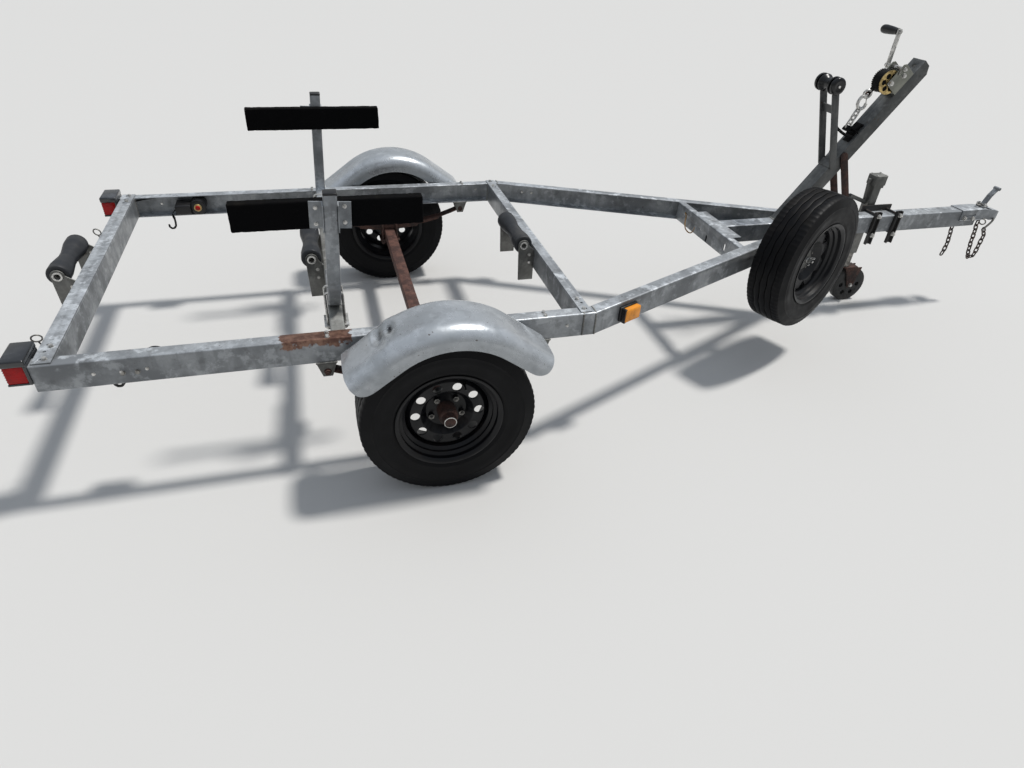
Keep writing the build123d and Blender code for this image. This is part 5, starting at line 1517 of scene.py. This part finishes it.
# %% [markdown]
# ## Guide posts: caps, angle bolts and U-bolts
# Each post is a bent tube clamped on its crossmember by U-bolts, with a plastic cap in its open top. Coach
# bolts through the two angles hold the board.

# %% Guide post fittings
GUIDE_X = -335
GUIDE_Y = 587
GUIDE_TOPS = {"right": 1000, "left": 1042}
BOARD_TOPS = {"right": 967, "left": 995}
GUIDE_LEAN = math.radians(3.2)
GUIDE_BEND = 579
BOARD_BOLTS_DOWN = 48
CLAMP_LEFTS = (508, 452)


def lean_at(height):
    """How far ahead of the axle a guide post stands at a height, in millimetres."""
    return GUIDE_X + (height - GUIDE_BEND) * math.tan(GUIDE_LEAN)


guide_parts = []
guide_rows = []
guide_paths = []
for side_name, side in SIDES:
    top = GUIDE_TOPS[side_name]
    guide_parts.append(soft_box(
        spot(lean_at(top) - 22.5, side * GUIDE_Y - 22.5, top - 6),
        spot(lean_at(top) + 22.5, side * GUIDE_Y + 22.5, top + 4), black_plastic, 0.004,
    ))
    for end in (-46, 46):
        for lift in (-27, 27):
            height = BOARD_TOPS[side_name] - BOARD_BOLTS_DOWN + lift
            guide_rows.append((spot(lean_at(height) + end, side * (GUIDE_Y - 17), height), (0, side, 0), 0.62))
    for left in CLAMP_LEFTS:
        legs = [(GUIDE_X + ahead, side * left) for ahead in (-31, 31)]
        guide_paths.append(staple(*legs, 462, 607))
        guide_rows += [(spot(*leg, 475), DOWN, 1.0) for leg in legs]
    middle = side * sum(CLAMP_LEFTS) / 2
    guide_parts.append(soft_box(
        spot(GUIDE_X - 44, middle - 44, 475), spot(GUIDE_X + 44, middle + 44, 481), zinc_plate, 0.001, 2,
    ))
guide_parts += [rods(guide_paths, 4.8, zinc_plate, 10), bolts(guide_rows, zinc_plate, 8)]
put_parts("guide_fittings", guide_parts, "frame")
print("guide posts have", len(guide_rows), "nuts")

# %% [markdown]
# ## Wheel trims
# On the hubs the stud ends stand out of the nuts, a bright ring sits round each dust cap, the hub is rusty,
# and a rubber valve stands in the well. They turn with the wheels, so they ride on them.

# %% Wheel trims
LUGS = 5
LUG_CIRCLE = 57.15
LUG_TOP = 23
HUB_END = 92
HUB_RUSTY = (rusty_dark, 0.0, 0.043, 0.004)
HUB_NUTS = (dark_zinc, 0.0435, 0.071, 0.0085)
CAP_RING = soften([(HUB_END - 5, 18), (HUB_END - 5, 22.4), (HUB_END - 1, 22.4), (HUB_END - 0.6, 18)], 1.2, 2)
HUB_COLLAR = soften([(60, 24), (60, 33), (64, 31), (66, 24.4)], 1.5, 2)
VALVE = soften([(0, 0), (0, 6.5), (12, 5), (30, 3.8), (36, 4.2), (40, 3.4), (40, 0)], 1.5, 2)
for side_name, side in SIDES:
    place = wheel_place(side)
    valve_place = place @ Matrix.Rotation(1.1, 4, "Z") @ Matrix.Translation((0.128, 0, 0.030))
    lug_ends = around(LUG_CIRCLE, LUGS, LUG_TOP, math.radians(side * 90))
    put_parts("wheel_trim_" + side_name, [
        bolts([(place @ lug, (0, side, 0), 0.62) for lug in lug_ends], dark_zinc, 6),
        turned(CAP_RING, place, zinc_plate, 40), turned(HUB_COLLAR, place, rusty_dark, 40),
        turned(VALVE, valve_place, black_plastic, 16),
    ], "wheel_" + side_name)
    for material, inner, outer, proud in (HUB_RUSTY, HUB_NUTS):
        paint_where(dressed["wheel_" + side_name], material, lambda point: (
            inner <= math.hypot(point.x - AXLE_X, point.z - AXLE_Z) < outer and abs(point.y) > WHEEL_Y + proud
        ))
print("two hubs trimmed with", LUGS, "stud ends each")

# %% [markdown]
# ## The spare on its carrier
# A threaded stud through the carrier's washer holds the spare with a wing nut, and five small dark nuts
# show round it.

# %% Spare fittings
WING_BOSS = soften([(13, 0), (13, 15), (27, 12), (30, 8), (30, 0)], 2, 2)
CARRIER_STUD = [(30, 0), (30, 6), (49, 6), (50, 5), (50, 0)]
WING = [(8, 20), (20, 30), (27, 41), (22, 47), (14, 38), (9, 26)]
WING_TURN = 0.5
wing_paths = [
    ([SPARE_PLACE @ around(along, 1, height, turn)[0] for along, height in WING], True)
    for turn in (WING_TURN, WING_TURN + math.pi)
]
put_parts("spare_fittings", [
    turned(WING_BOSS, SPARE_PLACE, zinc_plate, 24), turned(CARRIER_STUD, SPARE_PLACE, zinc_plate, 14),
    rods(wing_paths, 2.6, zinc_plate, 4, 8),
    bolts([(SPARE_PLACE @ lug, SPARE_AXIS, 0.55) for lug in around(LUG_CIRCLE, LUGS, 6.8, 0.3)], dark_zinc, 3),
], "frame")
print("wheel and spare fittings made")

# %% [markdown]
# ## The winch
# Black strap is wound on a drum whose near flange is yellow zinc with holes, and the far flange is a gear
# that a pinion on the crank's shaft turns. A pawl on the near plate stops it. The drum and the crank turn on
# their own, so the gear rides on the drum and the pinion on the crank.

# %% Winch drum, gear and crank
DRUM_HALF = 29
DRUM_FLANGE = 52
DRUM_ROLL = 49
DRUM_AXLE = 8
HOLE_CIRCLE = 30
TOOTH_DEPTH = 4.0
TOOTH_STEPS = 4
drum_middle = middle_of("winch_drum").translation
drum_place = stand(drum_middle, (0, -1, 0))


def loop_of(edit, points):
    """Add a closed loop of points to a bmesh and return its edges."""
    corners = [edit.verts.new(point) for point in points]
    return [edit.edges.new((corners[index - 1], corners[index])) for index in range(len(corners))]


def holed_disc(along, thickness, hole_radius, holes, material, teeth=0):
    """A flange of the drum with a ring of round holes, and teeth round its edge if asked for."""
    edit = bmesh.new()
    rim = around(DRUM_FLANGE, teeth * TOOTH_STEPS or 72, along)
    if teeth:
        root = (DRUM_FLANGE - TOOTH_DEPTH) / DRUM_FLANGE
        for step, point in enumerate(rim):
            if step % TOOTH_STEPS in (0, 1):
                point.xy *= root
    edges = loop_of(edit, rim)
    for centre in around(HOLE_CIRCLE, holes):
        edges += loop_of(edit, [centre + point for point in around(hole_radius, 16, along)])
    edges += loop_of(edit, around(DRUM_AXLE + 0.2, 16, along))
    filled = bmesh.ops.triangle_fill(edit, use_beauty=True, use_dissolve=True, edges=edges)
    faces = [item for item in filled["geom"] if isinstance(item, bmesh.types.BMFace)]
    thick = bmesh.ops.extrude_face_region(edit, geom=faces)
    moved = [item for item in thick["geom"] if isinstance(item, bmesh.types.BMVert)]
    bmesh.ops.translate(edit, verts=moved, vec=(0, 0, thickness * MM))
    bmesh.ops.recalc_face_normals(edit, faces=edit.faces)
    edit.transform(drum_place)
    return painted(mesh_from(edit, "holed_disc", 30), material)


STRAP_LAYERS = [(-DRUM_HALF + 4.4 + layer * 0.15, DRUM_ROLL - 6 + layer * 0.5) for layer in range(9)]
STRAP_ROLL = soften([
    (-DRUM_HALF + 4.2, DRUM_AXLE), *STRAP_LAYERS, (-DRUM_HALF + 6, DRUM_ROLL), (DRUM_HALF - 6, DRUM_ROLL),
    (DRUM_HALF - 4.4, DRUM_ROLL - 3), (DRUM_HALF - 4.2, DRUM_AXLE),
], 1.0, 2)
put_parts("winch_drum_wound", [
    turned(STRAP_ROLL, drum_place, webbing, 56),
    holed_disc(DRUM_HALF - 4, 3, 12, 6, yellow_zinc), holed_disc(-DRUM_HALF + 1, 3.2, 6, 5, dark_zinc, 36),
    turned(both_ends([(-37.8, 0), (-37.8, DRUM_AXLE - 0.2)]), drum_place, dark_zinc, 24),
], "winch_drum", ["winch_drum"])
print("wound the drum between its flange and its gear")

# %% Crank, grip and pinion
CRANK_ARM = 0.138
CRANK_ARM_Y = (0.068, 0.074)
GRIP = soften([(1, 0), (1, 12), (4, 15), (14, 14), (40, 17), (82, 19.4), (97, 18), (106, 12), (106, 0)], 4)
CRANK_SHAFT = soften([(-42, 0), (-42, 9), (68, 9), (68, 0)], 1, 2)
PINION = [(-27.5, 5), (-27.5, 12), (-24.8, 12), (-24.8, 5)]
crank_foot = on_mast(826, 60)
crank_top = crank_foot + Vector((0, 0, CRANK_ARM))
arm_near, arm_far = [Vector((0, left, 0)) for left in CRANK_ARM_Y]
arm_edge = Vector((0.012, 0, 0.012))
put_parts("winch_crank_fitted", [
    soft_box(crank_foot + arm_near - arm_edge, crank_top + arm_far + arm_edge, zinc_plate, 0.0024, 3),
    turned(GRIP, stand(crank_top + arm_far, (0, 1, 0)), black_plastic, 32),
    turned(CRANK_SHAFT, stand(crank_foot, (0, 1, 0)), zinc_plate, 24),
    turned(PINION, stand(crank_foot, (0, -1, 0)), dark_zinc, 12),
    bolts([(crank_foot + arm_far, (0, 1, 0), 1.0), (crank_top + arm_near, (0, -1, 0), 0.9)], zinc_plate, 3),
], "winch_crank", ["winch_crank"])
print("crank arm", round(CRANK_ARM / MM), "mm long")

# %% [markdown]
# ## Winch bolts, pawl and handle
# The near plate carries two bolts and a small pawl lever. The frame's base is bolted through the mast's web.

# %% Winch fittings
winch_rows = [
    (on_mast(808, 40, -38), (0, -1, 0), 1.0), (on_mast(748, 68, -38), (0, -1, 0), 1.1),
    (on_mast(808, 40, 38), (0, 1, 0), 1.0), (on_mast(826, 60, -42), (0, -1, 0), 0.7),
]
mast_out = (on_mast(0, 1) - on_mast(0, 0)).normalized()
winch_rows += [(on_mast(along, -5, left), -mast_out, 0.9) for along in (752, 828) for left in (-16, 16)]
pawl = [on_mast(along, out, -41) for along, out in ((792, 66), (806, 78), (812, 96), (806, 108))]
put_parts("winch_fittings", [
    bolts(winch_rows, zinc_plate, 5), rods([(pawl, False)], 3.2, dark_zinc, 6, 8),
], "frame")
print("crank, pawl and winch bolts made")

# %% [markdown]
# ## Strap, snap hook and safety chain
# The strap leaves the roll and is sewn round a bright snap hook, which is parked in a short bright chain
# under it. The strap's tail and a dark sling from the bow stop run on to the mast. Webbing keeps its full
# width, so it is a flat ribbon swept along its path with a slight curl across. It hangs taut, held at both
# ends.

# %% Helpers for straps
STRAP_HALF = 22
STRAP_WALL = 1.6
RIBBON_COLUMNS = 8


def ribbon(path, half, wall, material, cup=0.0):
    """A flat strap along a side view path of places, with its width across the trailer."""
    points = []
    for index, place in enumerate(path):
        run = (path[min(len(path) - 1, index + 1)] - path[max(0, index - 1)]).normalized()
        normal = Vector((-run.z, 0, run.x))
        for face in (-1, 1):
            for column in range(RIBBON_COLUMNS + 1):
                share = (2 * column / RIBBON_COLUMNS - 1) * face
                thin = wall / 2 * (1 if abs(share) < 0.9 else 0.55)
                rise = normal * (face * thin + cup * share ** 2)
                points.append(place + (Vector((0, share * half, 0)) + rise) * MM)
    wide = 2 * (RIBBON_COLUMNS + 1)
    last = len(points) - wide
    caps = [tuple(range(wide)), tuple(range(last, last + wide))]
    return painted(mesh_of("ribbon", points, ring_faces(len(path), wide, False) + caps, 45), material)


def curve_points(corners, steps=8):
    """Points on a smooth curve through a few corners."""
    made = []
    for index in range(len(corners) - 1):
        before = corners[max(0, index - 1)]
        first, second = corners[index], corners[index + 1]
        after = corners[min(len(corners) - 1, index + 2)]
        for step in range(steps):
            share = step / steps
            made.append(0.5 * (
                2 * first + (second - before) * share
                + (2 * before - 5 * first + 4 * second - after) * share ** 2
                + (3 * first - before - 3 * second + after) * share ** 3
            ))
    made.append(corners[-1])
    return made


def side_path(*places):
    """Places in the trailer's middle plane from pairs of (ahead, height)."""
    return [spot(ahead, 0, height) for ahead, height in places]


# %% Strap, hook and bright chain
ring_middle = spot(2157, 0, 1114)


def off_ring(ahead, height):
    """A place from millimetres ahead of and above the snap hook's middle."""
    return ring_middle + Vector((ahead, 0, height)) * MM


strap_start = drum_middle + Vector((-DRUM_ROLL * MM * 0.98, 0, -0.010))
strap_end = off_ring(12, 40)
strap_middle = strap_start.lerp(strap_end, 0.5) + Vector((0.002, 0, -0.001))
strap_path = curve_points([strap_start + Vector((0.004, 0, 0.014)), strap_start, strap_middle, strap_end])
hook_body = curve_points([
    off_ring(*place) for place in ((10, 32), (-16, 24), (-27, -4), (-10, -28), (14, -22), (20, -4))
], 6)
strap_parts = [
    ribbon(strap_path, STRAP_HALF * 0.62, STRAP_WALL, webbing, 1.5),
    rods([ring(off_ring(15, 44), (0.1, 1, 0.1), 12)], 4.0, rusty_steel, 0, 10),
    rods([(hook_body, False)], 7.4, zinc_plate, 0, 12),
    rods([ring(off_ring(10, 38), (0.25, 1, 0.1), 17)], 5.6, zinc_plate, 0, 12),
    rods([([off_ring(12, 26), off_ring(20, -6)], False)], 2.6, zinc_plate, 0, 8),
]

LINK_COUNT = 4
LINK_OUTLINE = [(-19, -6), (-13, -12), (13, -12), (19, -6), (19, 6), (13, 12), (-13, 12), (-19, 6)]
chain_top = off_ring(-10, -30)
chain_run = spot(2118, 0, 1010) - chain_top
link_paths = []
for number in range(LINK_COUNT):
    middle = chain_top + chain_run * ((number + 0.5) / LINK_COUNT)
    flat = Vector((0, 1, 0)) if number % 2 else chain_run.cross(Vector((0, 1, 0))).normalized()
    along = chain_run.normalized()
    across = along.cross(flat)
    link_paths.append(([middle + (along * a + across * b) * MM for a, b in LINK_OUTLINE], True))
strap_parts.append(rods(link_paths, 4.2, zinc_plate, 6, 8))
print("bright chain of", LINK_COUNT, "links")

# %% Strap's tail and sling
tail = side_path((2122, 1012), (2108, 990)) + [on_mast(512, 14), on_mast(492, 4.5), on_mast(470, 4.0)]
strap_parts.append(ribbon(curve_points(tail), STRAP_HALF, STRAP_WALL * 1.4, webbing, 1.0))
sling_path = side_path((2000, 1066), (2010, 1040), (2034, 1012), (2068, 990), (2098, 976)) + [on_mast(496, 9)]
sling = rods([(curve_points(sling_path), False)], 6.5, webbing, 0, 12)
sling.transform(Matrix.Translation((0, -0.022, 0)))
put_parts("strap_and_hook", strap_parts + [sling], "frame")
print("strap's tail and sling hung on the mast")

# %% [markdown]
# ## Folded strap on the mast
# The spare length of strap is folded up and strapped flat against the mast's rear face, so it shows as a dark
# bundle on the channel. Each fold is a ribbon that turns back at both ends, and a narrow keeper holds them.

# %% Strap bundle
BUNDLE_FOLDS = [(486, 566, 21, 3.0), (492, 558, 20, 8.0), (500, 562, 21, 13.0), (498, 540, 19, 17.5)]
KEEPER_ALONG = 522
KEEPER = ((1, -26), (20, -25), (24, -18), (24, 18), (20, 25), (1, 26))
wrap_parts = []
for low_end, high_end, half, rise in BUNDLE_FOLDS:
    fold = curve_points([
        on_mast(low_end + 8, rise - 2.2), on_mast(low_end, rise), on_mast(low_end + 8, rise + 2.2),
        on_mast((low_end + high_end) / 2, rise + 3.2), on_mast(high_end - 8, rise + 2.2),
        on_mast(high_end, rise), on_mast(high_end - 8, rise - 2.0),
    ], 5)
    wrap_parts.append(ribbon(fold, half, 2.6, webbing, 0.5))
keeper = [on_mast(KEEPER_ALONG, out, left) for out, left in KEEPER]
wrap_parts.append(rods([(keeper, False)], 3.0, webbing, 6, 8))
put_parts("strap_wrap", wrap_parts, "frame", ["winch_strap"])
print("strap, hook, chain and wrap made")

# %% [markdown]
# ## Safety chains
# Two chains hang from the coupler. The frame already holds each link as a plain eight-sided solid,
# interlocked with its neighbours, so the round wire links are set where those solids lie: each loose part of
# the node's mesh gives a centre and, from how its points spread, the directions of its length and of its flat
# side.

# %% Loose parts of a mesh
def islands(mesh):
    """The points of each loose part of a mesh."""
    edit = bmesh.new()
    edit.from_mesh(mesh)
    bmesh.ops.remove_doubles(edit, verts=edit.verts, dist=0.00002)
    edit.verts.ensure_lookup_table()
    seen = set()
    found = []
    for first in edit.verts:
        if first.index in seen:
            continue
        stack = [first]
        seen.add(first.index)
        group = []
        while stack:
            vertex = stack.pop()
            group.append(vertex.co.copy())
            for edge in vertex.link_edges:
                other = edge.other_vert(vertex)
                if other.index not in seen:
                    seen.add(other.index)
                    stack.append(other)
        found.append(group)
    edit.free()
    return found


# %% Link tree
LINK_LENGTH = 0.041
LINK_WIDTH = 0.026
LINK_WIRE = 0.007


def make_link_tree():
    """Set a round wire link on every point, turned by the point's turn attribute."""
    tree, start, end = new_tree("chain_links", [
        ("Length", "NodeSocketFloat", LINK_LENGTH), ("Width", "NodeSocketFloat", LINK_WIDTH),
        ("Wire", "NodeSocketFloat", LINK_WIRE), ("Material", "NodeSocketMaterial", None),
    ])
    wire = start.outputs["Wire"]
    wide = worked(tree, "SUBTRACT", start.outputs["Width"], wire)
    outline = add_node(tree, "GeometryNodeCurvePrimitiveQuadrilateral", {
        "Width": worked(tree, "SUBTRACT", start.outputs["Length"], wire), "Height": wide,
    })
    link = swept(
        tree, outline, worked(tree, "MULTIPLY", wide, 0.49), 4, worked(tree, "MULTIPLY", wire, 0.5), 8, False,
    )
    turn = add_node(tree, "GeometryNodeInputNamedAttribute", {"Name": "turn"}, data_type="FLOAT_VECTOR")
    laid = add_node(tree, "GeometryNodeInstanceOnPoints", {
        "Points": start.outputs["Geometry"], "Instance": link, "Rotation": turn.outputs["Attribute"],
    })
    end_tree(tree, start, end, laid.outputs["Instances"])
    return tree


# %% Places for the links
def link_points(groups):
    """Loose points at the middles of the links, each with its turn as Euler angles."""
    mesh = bpy.data.meshes.new("link_points")
    middles = []
    turns = []
    for group in groups:
        points = np.array([tuple(point) for point in group])
        middle = points.mean(axis=0)
        spread = np.linalg.eigh((points - middle).T @ (points - middle))[1]
        middles.append(Vector(middle))
        turns.extend(stand((0, 0, 0), Vector(spread[:, 0]), Vector(spread[:, 2])).to_euler())
    mesh.from_pydata(middles, [], [])
    mesh.attributes.new("turn", "FLOAT_VECTOR", "POINT").data.foreach_set("vector", turns)
    return mesh


# %% Links, ring and hook
HOOK_BAR = ((3281, -43, 503), (3276, -43, 484), (3262, -44, 468), (3246, -44, 452), (3238, -44, 440))
links = islands(nodes["safety_chains"].data)
put_parts("chain_links", [
    grown(link_points(links), make_link_tree(), {"Material": chain_rust}, 60),
    rods([ring(spot(3205, -44, 488), (0.9, 0.35, 0.2), 16)], 3.4, dark_zinc, 0, 8),
    rods([([spot(*place) for place in HOOK_BAR], False)], 5.5, dark_zinc, 3, 8),
], "frame", ["safety_chains"])
print("set", len(links), "links")

# %% [markdown]
# ## Coupler fittings
# The pressed coupler is bolted through the tongue, its latch has a finger lever and a pin, and the ball clamp
# shows as a nut below.

# %% Coupler fittings
COUPLER_BOLTS = ((3060, 44, 515, 1.1), (3118, 44, 512, 1.1), (3196, 19, 574, 0.9))
LATCH_LOOP = ((3188, -10, 567), (3172, -10, 573), (3160, 0, 571), (3172, 10, 573), (3188, 10, 567))
coupler_rows = [
    (spot(ahead, side * left, height), (0, side, 0), size)
    for ahead, left, height, size in COUPLER_BOLTS for side in (-1, 1)
] + [(spot(3226, 0, 556), UP, 1.0)]
latch_paths = [
    (side_path((3205, 568), (3225, 622), (3254, 659)), False),
    ([spot(3196, left, 574) for left in (-18, 18)], False),
    ([spot(*place) for place in LATCH_LOOP], False),
]
put_parts("coupler_fittings", [
    bolts(coupler_rows, zinc_plate, 5), rods(latch_paths, 4.0, dark_zinc, 6, 8),
], "frame")
print("coupler fitted with", len(coupler_rows), "bolts")

# %% [markdown]
# ## Jack fittings
# Long bolts clamp the jack's plate to the tongue, the pivot has a spring pin on a ring, and the wheel's axle
# and the fork's pivot have nuts.

# %% Jack fittings
JACK_X = 2499
JACK_Y = 86
JACK_PIN_Y = JACK_Y - 4
JACK_WHEEL_X = 2559
JACK_WHEEL_Z = 100
mount_rows = []
for ahead in (2455, 2590):
    for height in (TONGUE_TOP + 7, TONGUE_BOTTOM - 7):
        mount_rows.append((spot(ahead, -57, height), (0, -1, 0), 1.0))
        mount_rows.append((spot(ahead, 48, height), (0, 1, 0), 0.85))
put("jack_mount_bolts", bolts(mount_rows, zinc_plate, 9), None, "frame")
jack_rows = [
    (spot(JACK_X + across, JACK_Y + left, 735), UP, 0.55) for across in (-27, 27) for left in (-21, 21)
]
jack_rows += [(spot(JACK_X + 25, JACK_Y, 640), AHEAD, 0.7), (spot(JACK_X, JACK_Y + 25, 512), (0, 1, 0), 1.2)]
pull_paths = [
    ([spot(JACK_X + reach, JACK_PIN_Y, 540) for reach in (24, 44)], False),
    ring(spot(JACK_X + 48, JACK_PIN_Y, 533), (0, 1, 0.1), 9),
]
put_parts("jack_body_fittings", [
    bolts(jack_rows, zinc_plate, 2), rods(pull_paths, 2.4, zinc_plate, 3, 8),
], "jack_body")
grip_end = spot(JACK_X - 56, 0, 0).x
paint_where(dressed["jack_body"], black_plastic, lambda point: point.x < grip_end)
print("jack bolted to the tongue")

# %% Jack's fork and wheel
wheel_middle = spot(JACK_WHEEL_X, JACK_Y, JACK_WHEEL_Z)
fork_rows = [
    (Vector((wheel_middle.x, corner.y, wheel_middle.z)), (0, side, 0), 0.95)
    for side, corner in zip((-1, 1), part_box("jack_fork"))
]
put("jack_fork_nuts", bolts(fork_rows, zinc_plate, 4), None, "jack_fork")
JACK_TREAD = soften(both_ends([(-19.5, 80), (-19.5, 94), (-13, 99.3)]) + [(19.4, 78), (-19.4, 78)], 3, 2)
put("jack_wheel_tread", turned(JACK_TREAD, stand(wheel_middle, (0, 1, 0)), jack_tread, 56), None, "jack_wheel")
print("jack fitted")

# %% [markdown]
# ## Tie-down reels
# Inside each side rail near the stern sits a black ratchet reel with a brass button, wound with strap, and
# its hook hangs below on a short end.

# %% Tie-down fittings
REEL_AHEAD = -912
BLOCK_AHEAD = -978
BLOCK_HALF = 35
BLOCK_DEEP = 88
HOOK_AHEAD = -1028
STRAP_IN = 21
REEL_COVER = soften([
    (0, 36), (8, 36), (8, 35), (68, 35), (68, 36.5), (74, 35.5), (76, 20), (76, 0), (0, 0),
], 1.5, 2)
REEL_KNOB = soften([(75, 0), (75, 17), (81, 18), (84, 14), (84, 0)], 2, 2)
REEL_BUTTON = soften([(83, 0), (83, 12), (88, 11), (89.5, 7), (90, 0)], 1.5, 2)
TIE_STRAP = (
    (BLOCK_AHEAD - 20, RAIL_MID - 6), (BLOCK_AHEAD - 36, RAIL_MID - 8), (HOOK_AHEAD - 4, RAIL_MID - 28),
    (HOOK_AHEAD - 1, 462), (HOOK_AHEAD, 448),
)
TIE_HOOK = ((0, 470), (0, 440), (-2, 425), (-11, 414), (-22, 414), (-30, 422), (-31, 434))
reel_parts = []
for side_name, side in SIDES:
    web = RAIL_FACE - RAIL_WALL
    place = stand(spot(REEL_AHEAD, side * web, RAIL_MID), (0, -side, 0))
    block_lefts = sorted((side * web, side * (web - BLOCK_DEEP)))
    block_low = spot(BLOCK_AHEAD - BLOCK_HALF, block_lefts[0], RAIL_MID - 28)
    block_high = spot(BLOCK_AHEAD + BLOCK_HALF, block_lefts[1], RAIL_MID + 16)
    strap_y = side * (web - BLOCK_DEEP + STRAP_IN)
    tie_strap = curve_points([spot(ahead, strap_y, height) for ahead, height in TIE_STRAP], 5)
    tie_hook = [spot(HOOK_AHEAD + ahead, strap_y, height) for ahead, height in TIE_HOOK]
    reel_bolts = [(spot(ahead, side * RAIL_FACE, 508), OUT[side_name], 0.7) for ahead in (-1000, -958)]
    reel_parts += [
        turned(REEL_COVER, place, black_plastic), turned(REEL_KNOB, place, yellow_zinc, 28),
        turned(REEL_BUTTON, place, red_lens, 24), soft_box(block_low, block_high, black_plastic, 0.006),
        ribbon(tie_strap, 17, 2.4, webbing, 0.6), rods([(tie_hook, False)], 4.6, mount_steel, 7, 10),
        bolts(reel_bolts, dark_zinc, 3),
    ]
put_parts("tie_down_fittings", reel_parts, "frame", ["tie_downs"])
print("tie-down reels hung inside the rails")

# %% [markdown]
# ## Eyes, cables and small things
# Two wire eyes stand behind the rear crossmember, a cable runs inside each rail to the lamps, and a tan wire
# loops out at the front crossmember, as old trailer wiring does.

# %% Eyes and cables
EYE_LEFTS = (265, -593)
EYE_STEM = ((-1252, 560), (-1244, 540), (-1236, 530))
CABLE_SAGS = (
    (-1200, 532), (-1080, 548), (-960, 553), (-700, 551), (-420, 553), (-300, 550), (-60, 552), (250, 550),
    (500, 552),
)
TAN_LOOP = (
    (1474, 210, 534), (1468, 187, 526), (1452, 160, 502), (1447, 138, 481), (1455, 122, 468), (1468, 115, 464),
    (1476, 108, 476), (1478, 100, 500),
)
eye_paths = [
    ring(spot(-1252, 265, 574), (0.25, 0.95, 0.2), 15), ring(spot(-1254, -593, 574), (-0.2, 0.9, 0.3), 15),
] + [([spot(ahead, left, height) for ahead, height in EYE_STEM], False) for left in EYE_LEFTS]
put("wire_eyes", rods(eye_paths, 2.6, dark_zinc, 3, 8), None, "frame")
cable_paths = []
for side_name, side in SIDES:
    inside = side * (RAIL_FACE - RAIL_WALL - 4)
    cable = [spot(-1240, side * (RAIL_FACE - 20), 520)]
    cable += [spot(ahead, inside, height) for ahead, height in CABLE_SAGS]
    cable_paths.append((curve_points(cable, 6), False))
tan_loop = curve_points([spot(*place) for place in TAN_LOOP], 6)
put_parts("cables", [
    rods(cable_paths, 3.4, black_plastic, 0, 8), rods([(tan_loop, False)], 3.2, tan_wire, 0, 8),
], "frame")
print("cables laid")
